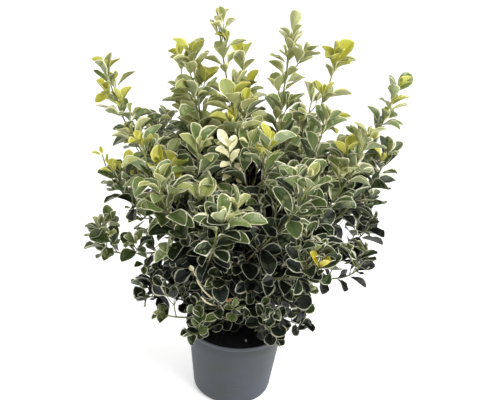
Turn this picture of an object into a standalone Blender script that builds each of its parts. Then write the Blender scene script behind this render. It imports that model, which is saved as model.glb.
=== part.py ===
"""Potted Japanese spindle: a bushy variegated evergreen shrub in a grey nursery pot.

Metres, +Z up. The origin is under the middle of the pot, on the surface that it stands on.
Bearings run from +X towards +Y, in degrees. Heights of the plant are above the compost.
"""

import math
import random
from itertools import combinations, permutations

import bmesh
import bpy
import numpy as np
from mathutils import Matrix, Vector
from mathutils.bvhtree import BVHTree

# The pot, a tapered round container with a flared lip and drain holes
POT_HEIGHT = 0.200
LIP_RADIUS = 0.130
LIP_HEIGHT = 0.014
WALL_TOP_RADIUS = 0.1235
BASE_RADIUS = 0.101
BASE_ROUNDING = 0.012
POT_WALL = 0.0022
POT_FLOOR = 0.003
POT_STEPS = 30
LIP_FLARE = 0.4 * LIP_HEIGHT
RIM_CORNER = 0.4 * POT_WALL
FOOT_BEVEL = 0.3 * BASE_ROUNDING
WELD = 0.00005
DRAIN_HOLES = 6
DRAIN_RADIUS = 0.007
DRAIN_CIRCLE = 0.070
DRILL_SIDES = 8
DRILL_DEPTH = 6 * POT_FLOOR

# The compost that fills the pot
GAP = 0.0003
COMPOST_DEPTH_BELOW_LIP = 0.014
COMPOST_DOME = 0.004
COMPOST_FLAT = 0.030
COMPOST_SHOULDER = (0.6 * WALL_TOP_RADIUS, 0.4 * COMPOST_DOME)
COMPOST_Z = POT_HEIGHT - COMPOST_DEPTH_BELOW_LIP

# The trunk, which forks close to the compost: the height and radius of its flared foot and waist,
# and the round head above them that the boughs spring from
TRUNK_FOOT = ((0.000, 0.0215), (0.007, 0.0165), (0.020, 0.0138), (0.035, 0.0145))
HEAD_HEIGHT = 0.050
HEAD_RADIUS = 0.0180
HEAD_RINGS = (0, 28, 56, 80)
TRUNK_LEAN = Vector((0.06, -0.04, 0.0))

# The boughs, from the trunk's head to the fork where they enter the foliage
BOUGH_BASE_RADIUS = 0.0048
BOUGH_TIP_RADIUS = 0.0038
BOUGH_SPREAD = math.radians(54)
BOUGH_POINTS = 7
CENTRE_FORK = (0.018, 0.215)
OUTER_FORK = (0.088, 0.165)

# How a limb bends: the pull of its curve's ends, as a share of its span, and how upright its end stands,
# for a bough, for the limbs that it carries and for the low rings
PULL_SHARE = 0.36
BOUGH_UPRIGHT = 0.72
LIMB_UPRIGHT = 0.84
RING_UPRIGHT = 0.35

# Each bough's leafy limbs, as name: (bearing, reach from the pot's axis, height of its tip).
# The first bough stands in the middle, and the others leave the trunk's head evenly round it, from +X on
LIMBS = {
    "centre": {
        "spire_tall": (141, 0.127, 0.823),
        "spire_twin": (48, 0.128, 0.790),
        "crest_near": (240, 0.095, 0.690),
    },
    "right": {
        "right_spire": (0, 0.338, 0.723),
        "right_shoulder": (356, 0.335, 0.560),
        "right_side": (8, 0.330, 0.340),
    },
    "right_back": {
        "right_back_spire": (31, 0.232, 0.730),
        "right_back_shoulder": (60, 0.320, 0.610),
        "right_back_side": (44, 0.340, 0.370),
    },
    "back": {
        "back_spire": (99, 0.223, 0.700),
        "back_shoulder": (92, 0.335, 0.560),
        "back_side": (100, 0.320, 0.310),
    },
    "left_back": {
        "left_back_spire": (138, 0.262, 0.700),
        "left_crest": (166, 0.160, 0.745),
        "left_back_side": (140, 0.345, 0.470),
    },
    "left": {
        "left_spire": (171, 0.360, 0.690),
        "left_shoulder": (192, 0.350, 0.520),
        "left_side": (188, 0.366, 0.290),
    },
    "front_left": {
        "front_left_inner": (213, 0.285, 0.590),
        "front_left_shoulder": (237, 0.335, 0.560),
        "front_side": (260, 0.300, 0.480),
    },
    "front_right": {
        "front_crest": (284, 0.205, 0.635),
        "front_right_shoulder": (296, 0.310, 0.590),
        "front_right_side": (306, 0.320, 0.400),
    },
    "right_front": {
        "right_front_crest": (331, 0.200, 0.660),
        "right_front_shoulder": (339, 0.290, 0.630),
        "right_front_side": (333, 0.325, 0.330),
    },
}

# Low limbs that leave the trunk itself, as bearing, reach and height: a ring that hangs to the pot's lip,
# open at the front, where the compost shows, and a steeper ring above it that passes between the boughs
LOW_RING = (
    (178, 0.270, 0.105),
    (206, 0.225, 0.085),
    (226, 0.180, 0.050),
    (314, 0.176, 0.050),
    (334, 0.205, 0.120),
    (2, 0.205, 0.130),
    (40, 0.220, 0.120),
    (76, 0.225, 0.110),
    (112, 0.225, 0.100),
    (146, 0.245, 0.115),
)
UPPER_RING = (
    (22.5, 0.205, 0.255),
    (67.5, 0.215, 0.265),
    (112.5, 0.210, 0.245),
    (157.5, 0.225, 0.270),
    (202.5, 0.210, 0.250),
    (247.5, 0.185, 0.235),
    (292.5, 0.180, 0.240),
    (337.5, 0.200, 0.270),
)
LOW_SCALE = 0.90
LOW_RING_START = 0.018
LOW_RING_RISE = math.radians(32)
UPPER_RING_START = 0.029
UPPER_RING_RISE = math.radians(42)

# A bough's limbs begin this far beyond its tip and beside its middle, and lean apart. A low limb begins
# where the lower corner of its stem, at this share of the stem's radius, clears the trunk
FORK_CLEAR = 0.0008
FORK_OFFSET = 0.0026
FORK_LEAN = 0.12
RING_CORNER = 0.9
RING_TUFT_SHARE = 0.7

# Stems and twigs: three-sided, tapering from root to tip
STEM_RADIUS = 0.0021
STEM_TIP_RADIUS = 0.0014
TWIG_RADIUS = 0.0012
TWIG_TIP_RADIUS = 0.0010
STEM_STEP = 0.090
ROOT_CROWDING = 2.2
BARE_SHARE = 0.07
TWIG_SPACING = 0.300
TWIG_ZONE = (0.12, 0.80)
TWIG_LENGTH = 0.120
TWIG_VARIETY = (0.80, 1.15)
TWIG_SHORTENING = (1.10, 0.35)
TWIG_SPREAD = math.radians(52)
TWIG_LIFT = 0.55
TWIG_PULLS = (0.4, 0.2)
TWIG_POINTS = 4
TWIG_BARE_SHARE = 0.42

# Leaves: opposite pairs, each pair turned a quarter from the last, and a tuft at every tip
LEAF_LENGTH = 0.098
LOW_LEAF_SHARE = 0.92
TIP_LEAF_SHARE = 0.62
TUFT = 0.045
LEAF_THICKNESS = 0.034
LEAF_ROOT = -0.004
LEAF_MIDDLE = 0.26
LEAF_WAIST = (0.50, 0.31, 0.07)
LEAF_SHOULDER = (0.96, 0.14, 0.014)
LEAF_LIFT = 0.5
LOW_PAIR_STEP = 0.060
HIGH_PAIR_STEP = 0.106
CROWN_HEIGHT = 0.82
LEAF_ANGLE = math.radians(58)
LEAF_CLOSING = math.radians(12)
TIP_LEAF_ANGLE = math.radians(30)
FIRST_PAIR = 0.25
LEAF_GROWTH = 1.6
TIP_SHARE = 0.985
TUFT_STEP_SHARE = 0.3
QUARTER = math.pi / 2
GOLDEN = math.radians(137.5)

# How a leaf is tried: the spread of its turn and tilt, its variety of length, and how much shorter it gets
# each time. Its root is left out of the crossing test up to a share of its length
LEAF_TRIES = 9
TURN_SPREAD = 0.25
TILT_SPREAD = 0.14
LENGTH_VARIETY = (0.90, 1.12)
TRY_SHORTENING = 0.06
ROOT_SHARE = 0.14

# How a mass keeps to its own space
SPACE_MARGIN = 0.0012
LIMB_CLEAR = 0.0022
POT_CLEAR = 0.006
AXIS_SAMPLES = 48

UP = Vector((0.0, 0.0, 1.0))
REFERENCE = Vector((0.31, 0.17, 0.93))


def clear_scene():
    """Removes what the startup file holds."""
    for item in list(bpy.data.objects):
        bpy.data.objects.remove(item)


def new_collection(name):
    """A collection linked to the scene."""
    made = bpy.data.collections.new(name)
    bpy.context.scene.collection.children.link(made)
    return made


def finish_of(name, colour, roughness):
    """A Principled BSDF material of one colour and roughness."""
    material = bpy.data.materials.new(name)
    material.use_nodes = True
    shader = material.node_tree.nodes["Principled BSDF"]
    shader.inputs["Base Color"].default_value = (*colour, 1.0)
    shader.inputs["Roughness"].default_value = roughness
    shader.inputs["Metallic"].default_value = 0.0
    return material


def add_object(name, data, collection):
    """A new object of this data in this collection."""
    made = bpy.data.objects.new(name, data)
    collection.objects.link(made)
    return made


def at(bearing, reach, height):
    """The point at a bearing and reach from the pot's axis, this far above the compost."""
    angle = math.radians(bearing)
    return Vector((reach * math.cos(angle), reach * math.sin(angle), COMPOST_Z + height))


def bezier(start, pull_start, pull_end, end, count):
    """Points along the cubic curve that these four control points set."""
    shares = [i / (count - 1) for i in range(count)]
    return [
        (1 - s) ** 3 * start
        + 3 * s * (1 - s) ** 2 * pull_start
        + 3 * s * s * (1 - s) * pull_end
        + s**3 * end
        for s in shares
    ]


def rising_path(start, direction, tip, count, upright, tuft=0.0):
    """A limb's line: it sets off along direction, then bends up until it stands nearly upright.

    It ends short of its tip by the length of the tuft of leaves there.
    """
    outward = Vector((tip.x - start.x, tip.y - start.y, 0.0))
    if outward.length > 0.0:
        outward.normalize()
    end_direction = (UP * upright + outward * (1 - upright)).normalized()
    end = tip - end_direction * tuft
    pull = (end - start).length * PULL_SHARE
    return bezier(start, start + direction * pull, end - end_direction * pull, end, count)


def along(path, share):
    """The point at this share of a path's length, and the path's direction there."""
    lengths = [(b - a).length for a, b in zip(path, path[1:])]
    left = share * sum(lengths)
    for start, end, length in zip(path, path[1:], lengths):
        if left <= length or end is path[-1]:
            step = (end - start).normalized()
            return start + step * min(left, length), step
        left -= length


def length_of(path):
    """The path's length."""
    return sum((b - a).length for a, b in zip(path, path[1:]))


def tapered(first, last, count):
    """Radii from first to last in equal steps."""
    return [first + (last - first) * i / (count - 1) for i in range(count)]


def tube_curve(name, points, radii, collection, resolution=2, section=None):
    """A tapering tube with closed ends, as a curve object. A section curve replaces its round bevel."""
    curve = bpy.data.curves.new(name, "CURVE")
    curve.dimensions = "3D"
    curve.use_fill_caps = True
    if section:
        curve.bevel_mode = "OBJECT"
        curve.bevel_object = section
        unit = 1.0
    else:
        curve.bevel_depth = radii[0]
        curve.bevel_resolution = resolution
        unit = radii[0]
    spline = curve.splines.new("POLY")
    spline.points.add(len(points) - 1)
    for point, place, radius in zip(spline.points, points, radii):
        point.co = (*place, 1.0)
        point.radius = radius / unit
    return add_object(name, curve, collection)


def mesh_from(obj):
    """The object as one welded mesh object of the same name and place. The curve that it was is removed."""
    graph = bpy.context.evaluated_depsgraph_get()
    mesh = bpy.data.meshes.new_from_object(obj.evaluated_get(graph))
    work = bmesh.new()
    work.from_mesh(mesh)
    bmesh.ops.remove_doubles(work, verts=work.verts, dist=WELD)
    bmesh.ops.recalc_face_normals(work, faces=work.faces)
    work.to_mesh(mesh)
    work.free()
    name, collection, matrix = obj.name, obj.users_collection[0], obj.matrix_world.copy()
    bpy.data.objects.remove(obj)
    made = add_object(name, mesh, collection)
    made.matrix_world = matrix
    return made


def turned(name, profile, collection, steps=POT_STEPS):
    """A solid turned about Z from an outline of (radius, height), by a Screw modifier."""
    mesh = bpy.data.meshes.new(name)
    edges = [(i, i + 1) for i in range(len(profile) - 1)]
    mesh.from_pydata([(radius, 0.0, height) for radius, height in profile], edges, [])
    made = add_object(name, mesh, collection)
    screw = made.modifiers.new("turn", "SCREW")
    screw.steps = steps
    screw.render_steps = steps
    screw.use_merge_vertices = True
    screw.merge_threshold = WELD
    return made


def wall_radius(height):
    """The pot wall's outer radius at a height, on its straight taper."""
    share = height / (POT_HEIGHT - LIP_HEIGHT)
    return BASE_RADIUS + (WALL_TOP_RADIUS - BASE_RADIUS) * share


def build_pot(collection, cutters):
    """The pot: one turned shell with a rounded foot and a flared lip, and drain holes through its floor."""
    lip_foot = POT_HEIGHT - LIP_HEIGHT
    lip_inner = LIP_RADIUS - 2 * POT_WALL
    profile = (
        (0.0, POT_FLOOR),
        (wall_radius(POT_FLOOR) - BASE_ROUNDING, POT_FLOOR),
        (wall_radius(BASE_ROUNDING) - POT_WALL, BASE_ROUNDING),
        (wall_radius(lip_foot) - POT_WALL, lip_foot),
        (lip_inner, POT_HEIGHT - LIP_FLARE),
        (lip_inner + RIM_CORNER, POT_HEIGHT),
        (LIP_RADIUS - RIM_CORNER, POT_HEIGHT),
        (LIP_RADIUS, POT_HEIGHT - RIM_CORNER),
        (LIP_RADIUS, POT_HEIGHT - LIP_FLARE),
        (wall_radius(lip_foot), lip_foot),
        (wall_radius(BASE_ROUNDING), BASE_ROUNDING),
        (wall_radius(FOOT_BEVEL) - FOOT_BEVEL, FOOT_BEVEL),
        (wall_radius(0.0) - BASE_ROUNDING, 0.0),
        (0.0, 0.0),
    )
    pot = turned("pot", profile, collection)
    for index in range(DRAIN_HOLES):
        angle = 2 * math.pi * (index + 0.5) / DRAIN_HOLES
        bpy.ops.mesh.primitive_cylinder_add(
            vertices=DRILL_SIDES,
            radius=DRAIN_RADIUS,
            depth=DRILL_DEPTH,
            location=(DRAIN_CIRCLE * math.cos(angle), DRAIN_CIRCLE * math.sin(angle), 0.0),
        )
        drill = bpy.context.object
        drill.name = f"drain_drill_{index}"
        for holder in drill.users_collection:
            holder.objects.unlink(drill)
        cutters.objects.link(drill)
        drill.hide_render = True
        drill.display_type = "WIRE"
        cut = pot.modifiers.new(f"drain_{index}", "BOOLEAN")
        cut.operation = "DIFFERENCE"
        cut.object = drill
    return pot


def build_compost(collection):
    """The root ball and compost: it fills the pot, and its top rises a little towards the trunk."""
    lip_foot = POT_HEIGHT - LIP_HEIGHT
    side = POT_WALL + GAP
    low = POT_FLOOR + GAP
    edge = COMPOST_Z - COMPOST_DOME
    shoulder, fall = COMPOST_SHOULDER
    profile = (
        (0.0, COMPOST_Z),
        (COMPOST_FLAT, COMPOST_Z),
        (shoulder, COMPOST_Z - fall),
        (wall_radius(min(edge, lip_foot)) - side, edge),
        (wall_radius(BASE_ROUNDING) - side, BASE_ROUNDING + GAP),
        (wall_radius(POT_FLOOR) - BASE_ROUNDING - GAP, low),
        (0.0, low),
    )
    return turned("compost", profile, collection)


def trunk_axis(height):
    """The trunk's middle at a height above its foot. It leans a little, more so higher up."""
    return Vector((0.0, 0.0, COMPOST_Z + GAP + height)) + TRUNK_LEAN * height * height / HEAD_HEIGHT


def trunk_radius(height):
    """The trunk's radius at a height between its foot and its head."""
    return float(np.interp(height, *zip(*TRUNK_FOOT)))


def build_trunk(collection):
    """The short trunk: a flared foot cut flat on the compost, a waist, and the boughs' round head."""
    rings = list(TRUNK_FOOT)
    for degrees in HEAD_RINGS:
        angle = math.radians(degrees)
        rings.append((HEAD_HEIGHT + HEAD_RADIUS * math.sin(angle), HEAD_RADIUS * math.cos(angle)))
    points = [trunk_axis(min(height, HEAD_HEIGHT)) for height, _ in rings]
    for point, (height, _) in zip(points, rings):
        point.z += max(0.0, height - HEAD_HEIGHT)
    return tube_curve("trunk", points, [radius for _, radius in rings], collection, resolution=6)


def bough_path(name, count=BOUGH_POINTS):
    """A bough's line, from just off the trunk's head to its fork."""
    order = list(LIMBS).index(name) - 1
    bearing = 360 * order / (len(LIMBS) - 1)
    reach, height = CENTRE_FORK if name == "centre" else OUTER_FORK
    spread = 0.0 if name == "centre" else BOUGH_SPREAD
    flat = at(bearing, 1.0, 0.0) - at(bearing, 0.0, 0.0)
    direction = UP * math.cos(spread) + flat * math.sin(spread)
    start = trunk_axis(HEAD_HEIGHT) + direction * (HEAD_RADIUS + GAP)
    return rising_path(start, direction, at(bearing, reach, height), count, BOUGH_UPRIGHT)


def build_bough(name, collection):
    """One bough: a single tapering limb."""
    path = bough_path(name)
    radii = tapered(BOUGH_BASE_RADIUS, BOUGH_TIP_RADIUS, len(path))
    return tube_curve(f"bough_{name}", path, radii, collection, resolution=1)


def limb_paths(bough):
    """The lines of a bough's limbs. Each begins just clear of its tip, on the side that it grows to."""
    path = bough_path(bough)
    fork, direction = path[-1], (path[-1] - path[-2]).normalized()
    inward = Vector((-fork.x, -fork.y, 0.0))
    inward = (inward - direction * inward.dot(direction)).normalized()
    tips = [at(*place) for place in LIMBS[bough].values()]
    middle = sum(tips, Vector()) / len(tips)
    offsets = [Matrix.Rotation(2 * math.pi * i / len(tips), 3, direction) @ inward for i in range(len(tips))]
    best = max(
        permutations(offsets),
        key=lambda order: sum(offset.dot(tip - middle) for offset, tip in zip(order, tips)),
    )
    lines = {}
    for name, tip, offset in zip(LIMBS[bough], tips, best):
        start = fork + direction * FORK_CLEAR + offset * FORK_OFFSET
        leaving = (direction + offset * FORK_LEAN).normalized()
        lines[name] = rising_path(start, leaving, tip, AXIS_SAMPLES, LIMB_UPRIGHT, TUFT)
    return lines


def ring_path(bearing, reach, height, start_height, rise):
    """A low limb's line, from the trunk's side at a height out over the compost."""
    flat = at(bearing, 1.0, 0.0) - at(bearing, 0.0, 0.0)
    direction = (flat * math.cos(rise) + UP * math.sin(rise)).normalized()
    corner = RING_CORNER * STEM_RADIUS
    clear = trunk_radius(start_height + corner * math.cos(rise)) + corner * math.sin(rise) + GAP
    start = trunk_axis(start_height) + flat * clear
    tip = at(bearing, reach, height)
    return rising_path(start, direction, tip, AXIS_SAMPLES, RING_UPRIGHT, RING_TUFT_SHARE * TUFT)


class Spaces:
    """The lines that share the crown out: a point belongs to the limb whose line is nearest."""

    def __init__(self, axes):
        self.names = list(axes)
        self.lines = {name: np.array([tuple(p) for p in path]) for name, path in axes.items()}
        self.boughs = np.array([tuple(p) for bough in LIMBS for p in bough_path(bough, AXIS_SAMPLES)])

    def holds(self, name, points):
        """True if every point is nearer this limb than any other, and clear of the boughs, pot and trunk."""
        places = np.array([tuple(p) for p in points])
        own = self.nearest(places, self.lines[name])
        for other in self.names:
            if other != name and (self.nearest(places, self.lines[other]) < own + SPACE_MARGIN).any():
                return False
        if (self.nearest(places, self.boughs) < BOUGH_BASE_RADIUS + LIMB_CLEAR).any():
            return False
        return not self.in_pot(places)

    @staticmethod
    def nearest(places, line):
        """Each place's distance to the nearest sample of a line."""
        return np.linalg.norm(places[:, None, :] - line[None, :, :], axis=2).min(axis=1)

    @staticmethod
    def in_pot(places):
        """True if a place is in or too near the pot's wall, the compost or the trunk."""
        reach, height = np.hypot(places[:, 0], places[:, 1]), places[:, 2]
        low = height < POT_HEIGHT + POT_CLEAR
        inside = reach < WALL_TOP_RADIUS - POT_CLEAR
        near_wall = low & ~inside & (reach < LIP_RADIUS + POT_CLEAR)
        in_compost = inside & (height < COMPOST_Z + POT_CLEAR)
        in_trunk = (reach < HEAD_RADIUS + LIMB_CLEAR) & (height < COMPOST_Z + HEAD_HEIGHT + HEAD_RADIUS)
        return bool((near_wall | in_compost | in_trunk).any())


def leaf_mesh():
    """One leaf of unit length along X, facing +Z: a five-sided double cone drawn out into a blunt blade."""
    mesh = bpy.data.meshes.new("leaf")
    work = bmesh.new()
    sides = 5
    bmesh.ops.create_uvsphere(work, u_segments=sides, v_segments=2, radius=1.0)
    outline = ((LEAF_ROOT, 0.0, 0.0), LEAF_WAIST, LEAF_SHOULDER)
    for vert in work.verts:
        if abs(vert.co.z) > 0.5:
            vert.co = Vector((LEAF_MIDDLE, 0.0, math.copysign(LEAF_THICKNESS / 2, vert.co.z)))
            continue
        turn = math.degrees(math.atan2(vert.co.y, vert.co.x))
        x, y, z = outline[round(abs(turn) / (360 / sides))]
        vert.co = Vector((x, -math.copysign(y, turn), z))
    work.to_mesh(mesh)
    work.free()
    return mesh


def leaf_matrix(root, stem, outward, angle, length):
    """Places a leaf: it leaves the stem at this angle, towards outward, and faces the stem's tip."""
    blade = (stem * math.cos(angle) + outward * math.sin(angle)).normalized()
    look = stem + UP * LEAF_LIFT
    face = (look - blade * look.dot(blade)).normalized()
    side = face.cross(blade)
    turn = Matrix((blade, side, face)).transposed().to_4x4()
    return Matrix.Translation(root) @ turn @ Matrix.Scale(length, 4)


class Foliage:
    """One limb's mass of foliage: its stem, side twigs and leaves, grown by rule from one seed."""

    def __init__(self, name, path, spaces, seed, scale=1.0):
        self.name = name
        self.path = path
        self.spaces = spaces
        self.chance = random.Random(seed)
        self.scale = scale
        self.twigs = [(path, STEM_RADIUS, STEM_TIP_RADIUS, STEM_STEP)]
        self.leaves = []
        self.blades = []
        height_share = (path[-1].z - COMPOST_Z) / CROWN_HEIGHT
        self.pair_step = LOW_PAIR_STEP + (HIGH_PAIR_STEP - LOW_PAIR_STEP) * height_share

    def across(self, direction, turn):
        """A direction square to a stem, at this turn round it."""
        side = direction.cross(REFERENCE).normalized()
        return Matrix.Rotation(turn, 3, direction) @ side

    def grow(self, leaf):
        """Grows the side twigs along the stem, then the leaves along the stem and along each twig."""
        length = length_of(self.path)
        count = max(1, round(length / TWIG_SPACING))
        turn = self.chance.uniform(0, 2 * math.pi)
        for index in range(count):
            share = TWIG_ZONE[0] + (TWIG_ZONE[1] - TWIG_ZONE[0]) * (index + 0.5) / count
            self.add_twig(share, turn + GOLDEN * index)
        for path, _, _, _ in list(self.twigs):
            self.add_leaves(path, leaf, own_stem=path is self.path)

    def add_twig(self, share, turn):
        """One side twig that leaves the stem and bends upwards, kept if it stays in its space."""
        start, direction = along(self.path, share)
        outward = self.across(direction, turn)
        at_root, shortening = TWIG_SHORTENING
        variety = self.chance.uniform(*TWIG_VARIETY)
        length = TWIG_LENGTH * self.scale * variety * (at_root - shortening * share)
        leaving = (direction * math.cos(TWIG_SPREAD) + outward * math.sin(TWIG_SPREAD)).normalized()
        tip = start + (leaving * (1 - TWIG_LIFT) + UP * TWIG_LIFT).normalized() * length
        root_pull, tip_pull = (length * pull for pull in TWIG_PULLS)
        path = bezier(start, start + leaving * root_pull, tip - UP * tip_pull, tip, TWIG_POINTS)
        if self.spaces.holds(self.name, path[1:]):
            self.twigs.append((path, TWIG_RADIUS, TWIG_TIP_RADIUS, length / (TWIG_POINTS - 1)))

    def add_leaves(self, path, leaf, own_stem):
        """Leaf pairs along a stem or twig, and a smaller tuft at its tip."""
        length = length_of(path)
        first = (BARE_SHARE if own_stem else TWIG_BARE_SHARE) * length
        count = max(1, int((length - first) / self.pair_step))
        turn = self.chance.uniform(0, 2 * math.pi)
        for index in range(count):
            share = (first + (length - first) * (index + FIRST_PAIR) / (count + FIRST_PAIR)) / length
            angle = LEAF_ANGLE - LEAF_CLOSING * share
            size = LEAF_LENGTH * (LOW_LEAF_SHARE + (1 - LOW_LEAF_SHARE) * min(1.0, LEAF_GROWTH * share))
            self.add_pair(path, share, turn + QUARTER * index, angle, size, leaf)
        tip_size = LEAF_LENGTH * TIP_LEAF_SHARE
        self.add_pair(path, TIP_SHARE, turn + QUARTER * count, TIP_LEAF_ANGLE, tip_size, leaf)
        if own_stem:
            share = 1 - TUFT_STEP_SHARE * self.pair_step / length
            self.add_pair(path, share, turn + QUARTER * (count + 1), LEAF_ANGLE, tip_size, leaf)

    def add_pair(self, path, share, turn, angle, size, leaf):
        """Two opposite leaves, each tried until it stays in its space and crosses nothing, or left out."""
        root, stem = along(path, share)
        for side in (0.0, math.pi):
            for attempt in range(LEAF_TRIES):
                away = self.chance.uniform(-TURN_SPREAD, TURN_SPREAD) * (1 + 2 * attempt)
                outward = self.across(stem, turn + side + away)
                tilt = angle + self.chance.uniform(-TILT_SPREAD, TILT_SPREAD)
                variety = self.chance.uniform(*LENGTH_VARIETY) * (1 - TRY_SHORTENING * attempt)
                place = leaf_matrix(root, stem, outward, tilt, size * self.scale * variety)
                blade = [place @ Vector((max(vert.co.x, ROOT_SHARE), *vert.co.yz)) for vert in leaf.vertices]
                middles = [(a + b) / 2 for a, b in combinations(blade, 2)]
                tree = BVHTree.FromPolygons(blade, [face.vertices for face in leaf.polygons])
                if self.spaces.holds(self.name, blade + middles) and not self.crosses(tree):
                    self.leaves.append(place)
                    self.blades.append(tree)
                    break

    def crosses(self, tree):
        """True if a blade meets a leaf or a twig that the mass already has."""
        if any(tree.overlap(other) for other in self.blades):
            return True
        for path, _, _, _ in self.twigs:
            for start, end in zip(path, path[1:]):
                if tree.ray_cast(start, (end - start).normalized(), (end - start).length)[0]:
                    return True
        return False

    def build(self, leaf, section, collection):
        """The mass as one solid: its stem, with every twig and leaf joined to it by one Boolean union."""
        joined = new_collection(f"{self.name}_pieces")
        stem = None
        for index, (path, first, last, step) in enumerate(self.twigs):
            count = max(3, round(length_of(path) / step) + 1)
            points = [along(path, (i / (count - 1)) ** ROOT_CROWDING)[0] for i in range(count)]
            twig = tube_curve(
                f"{self.name}_twig_{index}", points, tapered(first, last, count), joined, section=section
            )
            twig = mesh_from(twig)
            stem = stem or twig
        for index, place in enumerate(self.leaves):
            add_object(f"{self.name}_leaf_{index}", leaf, joined).matrix_world = place
        joined.objects.unlink(stem)
        collection.objects.link(stem)
        stem.name = self.name
        fuse(stem, joined)
        return stem


def fuse(body, joined):
    """Joins a collection to a body by one union, keeps the one outer shell and removes the pieces."""
    union = body.modifiers.new("join", "BOOLEAN")
    union.operation = "UNION"
    union.operand_type = "COLLECTION"
    union.collection = joined
    for solver in ("EXACT", "MANIFOLD"):
        union.solver = solver
        graph = bpy.context.evaluated_depsgraph_get()
        mesh = bpy.data.meshes.new_from_object(body.evaluated_get(graph))
        if keep_largest_shell(mesh):
            break
    body.modifiers.clear()
    body.data = mesh
    for piece in list(joined.objects):
        bpy.data.objects.remove(piece)
    bpy.data.collections.remove(joined)


def keep_largest_shell(mesh):
    """Fills sealed hollows and drops loose scraps by keeping one shell. True if that shell is closed."""
    work = bmesh.new()
    work.from_mesh(mesh)
    unseen = set(work.faces)
    shells = []
    while unseen:
        shell, edge = [], [unseen.pop()]
        while edge:
            face = edge.pop()
            shell.append(face)
            for other in {near for link in face.edges for near in link.link_faces} & unseen:
                unseen.remove(other)
                edge.append(other)
        shells.append(shell)
    largest = max(shells, key=len)
    for shell in shells:
        if shell is not largest:
            bmesh.ops.delete(work, geom=shell, context="FACES")
    bmesh.ops.delete(work, geom=[vert for vert in work.verts if not vert.link_faces], context="VERTS")
    closed = all(edge.is_manifold for edge in work.edges)
    work.to_mesh(mesh)
    work.free()
    return closed


def twig_section(collection):
    """The three-sided outline that stems and twigs are drawn with, of unit radius."""
    curve = bpy.data.curves.new("twig_section", "CURVE")
    curve.dimensions = "2D"
    spline = curve.splines.new("POLY")
    spline.points.add(2)
    for index, point in enumerate(spline.points):
        angle = 2 * math.pi * index / 3
        point.co = (math.cos(angle), math.sin(angle), 0.0, 1.0)
    spline.use_cyclic_u = True
    section = add_object("twig_section", curve, collection)
    section.hide_render = True
    return section


def main():
    """Builds the pot, the compost, the trunk, the boughs and each limb's foliage."""
    clear_scene()
    plant = new_collection("potted_japanese_spindle")
    helpers = new_collection("helpers")
    plastic = finish_of("pot_plastic", (0.13, 0.145, 0.16), 0.55)
    soil = finish_of("compost", (0.012, 0.010, 0.009), 0.95)
    bark = finish_of("bark", (0.16, 0.13, 0.08), 0.85)
    foliage = finish_of("leaf", (0.16, 0.22, 0.06), 0.45)

    build_pot(plant, helpers).data.materials.append(plastic)
    build_compost(plant).data.materials.append(soil)
    build_trunk(plant).data.materials.append(bark)
    for bough in LIMBS:
        build_bough(bough, plant).data.materials.append(bark)

    axes = {f"foliage_{name}": path for bough in LIMBS for name, path in limb_paths(bough).items()}
    for index, place in enumerate(LOW_RING):
        axes[f"foliage_low_{index + 1:02d}"] = ring_path(*place, LOW_RING_START, LOW_RING_RISE)
    for index, place in enumerate(UPPER_RING):
        axes[f"foliage_low_upper_{index + 1:02d}"] = ring_path(*place, UPPER_RING_START, UPPER_RING_RISE)
    spaces = Spaces(axes)
    leaf = leaf_mesh()
    section = twig_section(helpers)
    total = 0
    for seed, (name, path) in enumerate(axes.items()):
        low = name.startswith("foliage_low")
        mass = Foliage(name, path, spaces, seed, scale=LOW_SCALE if low else 1.0)
        mass.grow(leaf)
        mass.build(leaf, section, plant).data.materials.append(foliage)
        total += len(mass.leaves)
    print(f"{len(axes)} masses of foliage with {total} leaves")


main()
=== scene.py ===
"""Looks of the potted Japanese spindle: a variegated evergreen shrub in a grey nursery pot.

Metres, +Z up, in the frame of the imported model. Bearings run from +X towards +Y, in degrees.
Heights of the plant are above the compost. The limbs' lines follow the rule that the solids were grown by,
and finer twigs and life-size leaves grow on from them.
"""

import logging
import math
from dataclasses import dataclass, field
from enum import Enum, IntEnum
from itertools import permutations

import bpy
import numpy as np
from mathutils import Matrix, Vector
from numpy.typing import NDArray

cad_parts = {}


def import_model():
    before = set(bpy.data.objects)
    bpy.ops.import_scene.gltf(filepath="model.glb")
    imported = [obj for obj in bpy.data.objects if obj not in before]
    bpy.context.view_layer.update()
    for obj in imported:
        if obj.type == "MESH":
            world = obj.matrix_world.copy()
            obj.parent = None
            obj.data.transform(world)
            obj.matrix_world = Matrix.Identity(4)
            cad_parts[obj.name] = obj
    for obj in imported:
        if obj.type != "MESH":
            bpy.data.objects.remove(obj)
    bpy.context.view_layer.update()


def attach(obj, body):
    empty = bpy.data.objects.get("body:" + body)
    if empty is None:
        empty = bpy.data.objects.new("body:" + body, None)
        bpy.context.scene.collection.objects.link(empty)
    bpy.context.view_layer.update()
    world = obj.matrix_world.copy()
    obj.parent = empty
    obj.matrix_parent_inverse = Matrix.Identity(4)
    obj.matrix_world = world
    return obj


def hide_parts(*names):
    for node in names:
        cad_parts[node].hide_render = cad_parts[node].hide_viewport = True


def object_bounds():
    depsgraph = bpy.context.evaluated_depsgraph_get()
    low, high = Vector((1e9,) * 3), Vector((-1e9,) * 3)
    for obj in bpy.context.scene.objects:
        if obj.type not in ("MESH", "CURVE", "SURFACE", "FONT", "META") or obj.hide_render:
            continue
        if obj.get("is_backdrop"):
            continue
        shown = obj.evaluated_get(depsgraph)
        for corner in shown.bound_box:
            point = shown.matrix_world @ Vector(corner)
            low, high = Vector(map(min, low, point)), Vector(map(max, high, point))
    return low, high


Floats = NDArray[np.float64]
Whole = NDArray[np.int64]
Shade = tuple[int, int, int]

LOG = logging.getLogger("spindle")
ROOT_BODY = "root"

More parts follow.
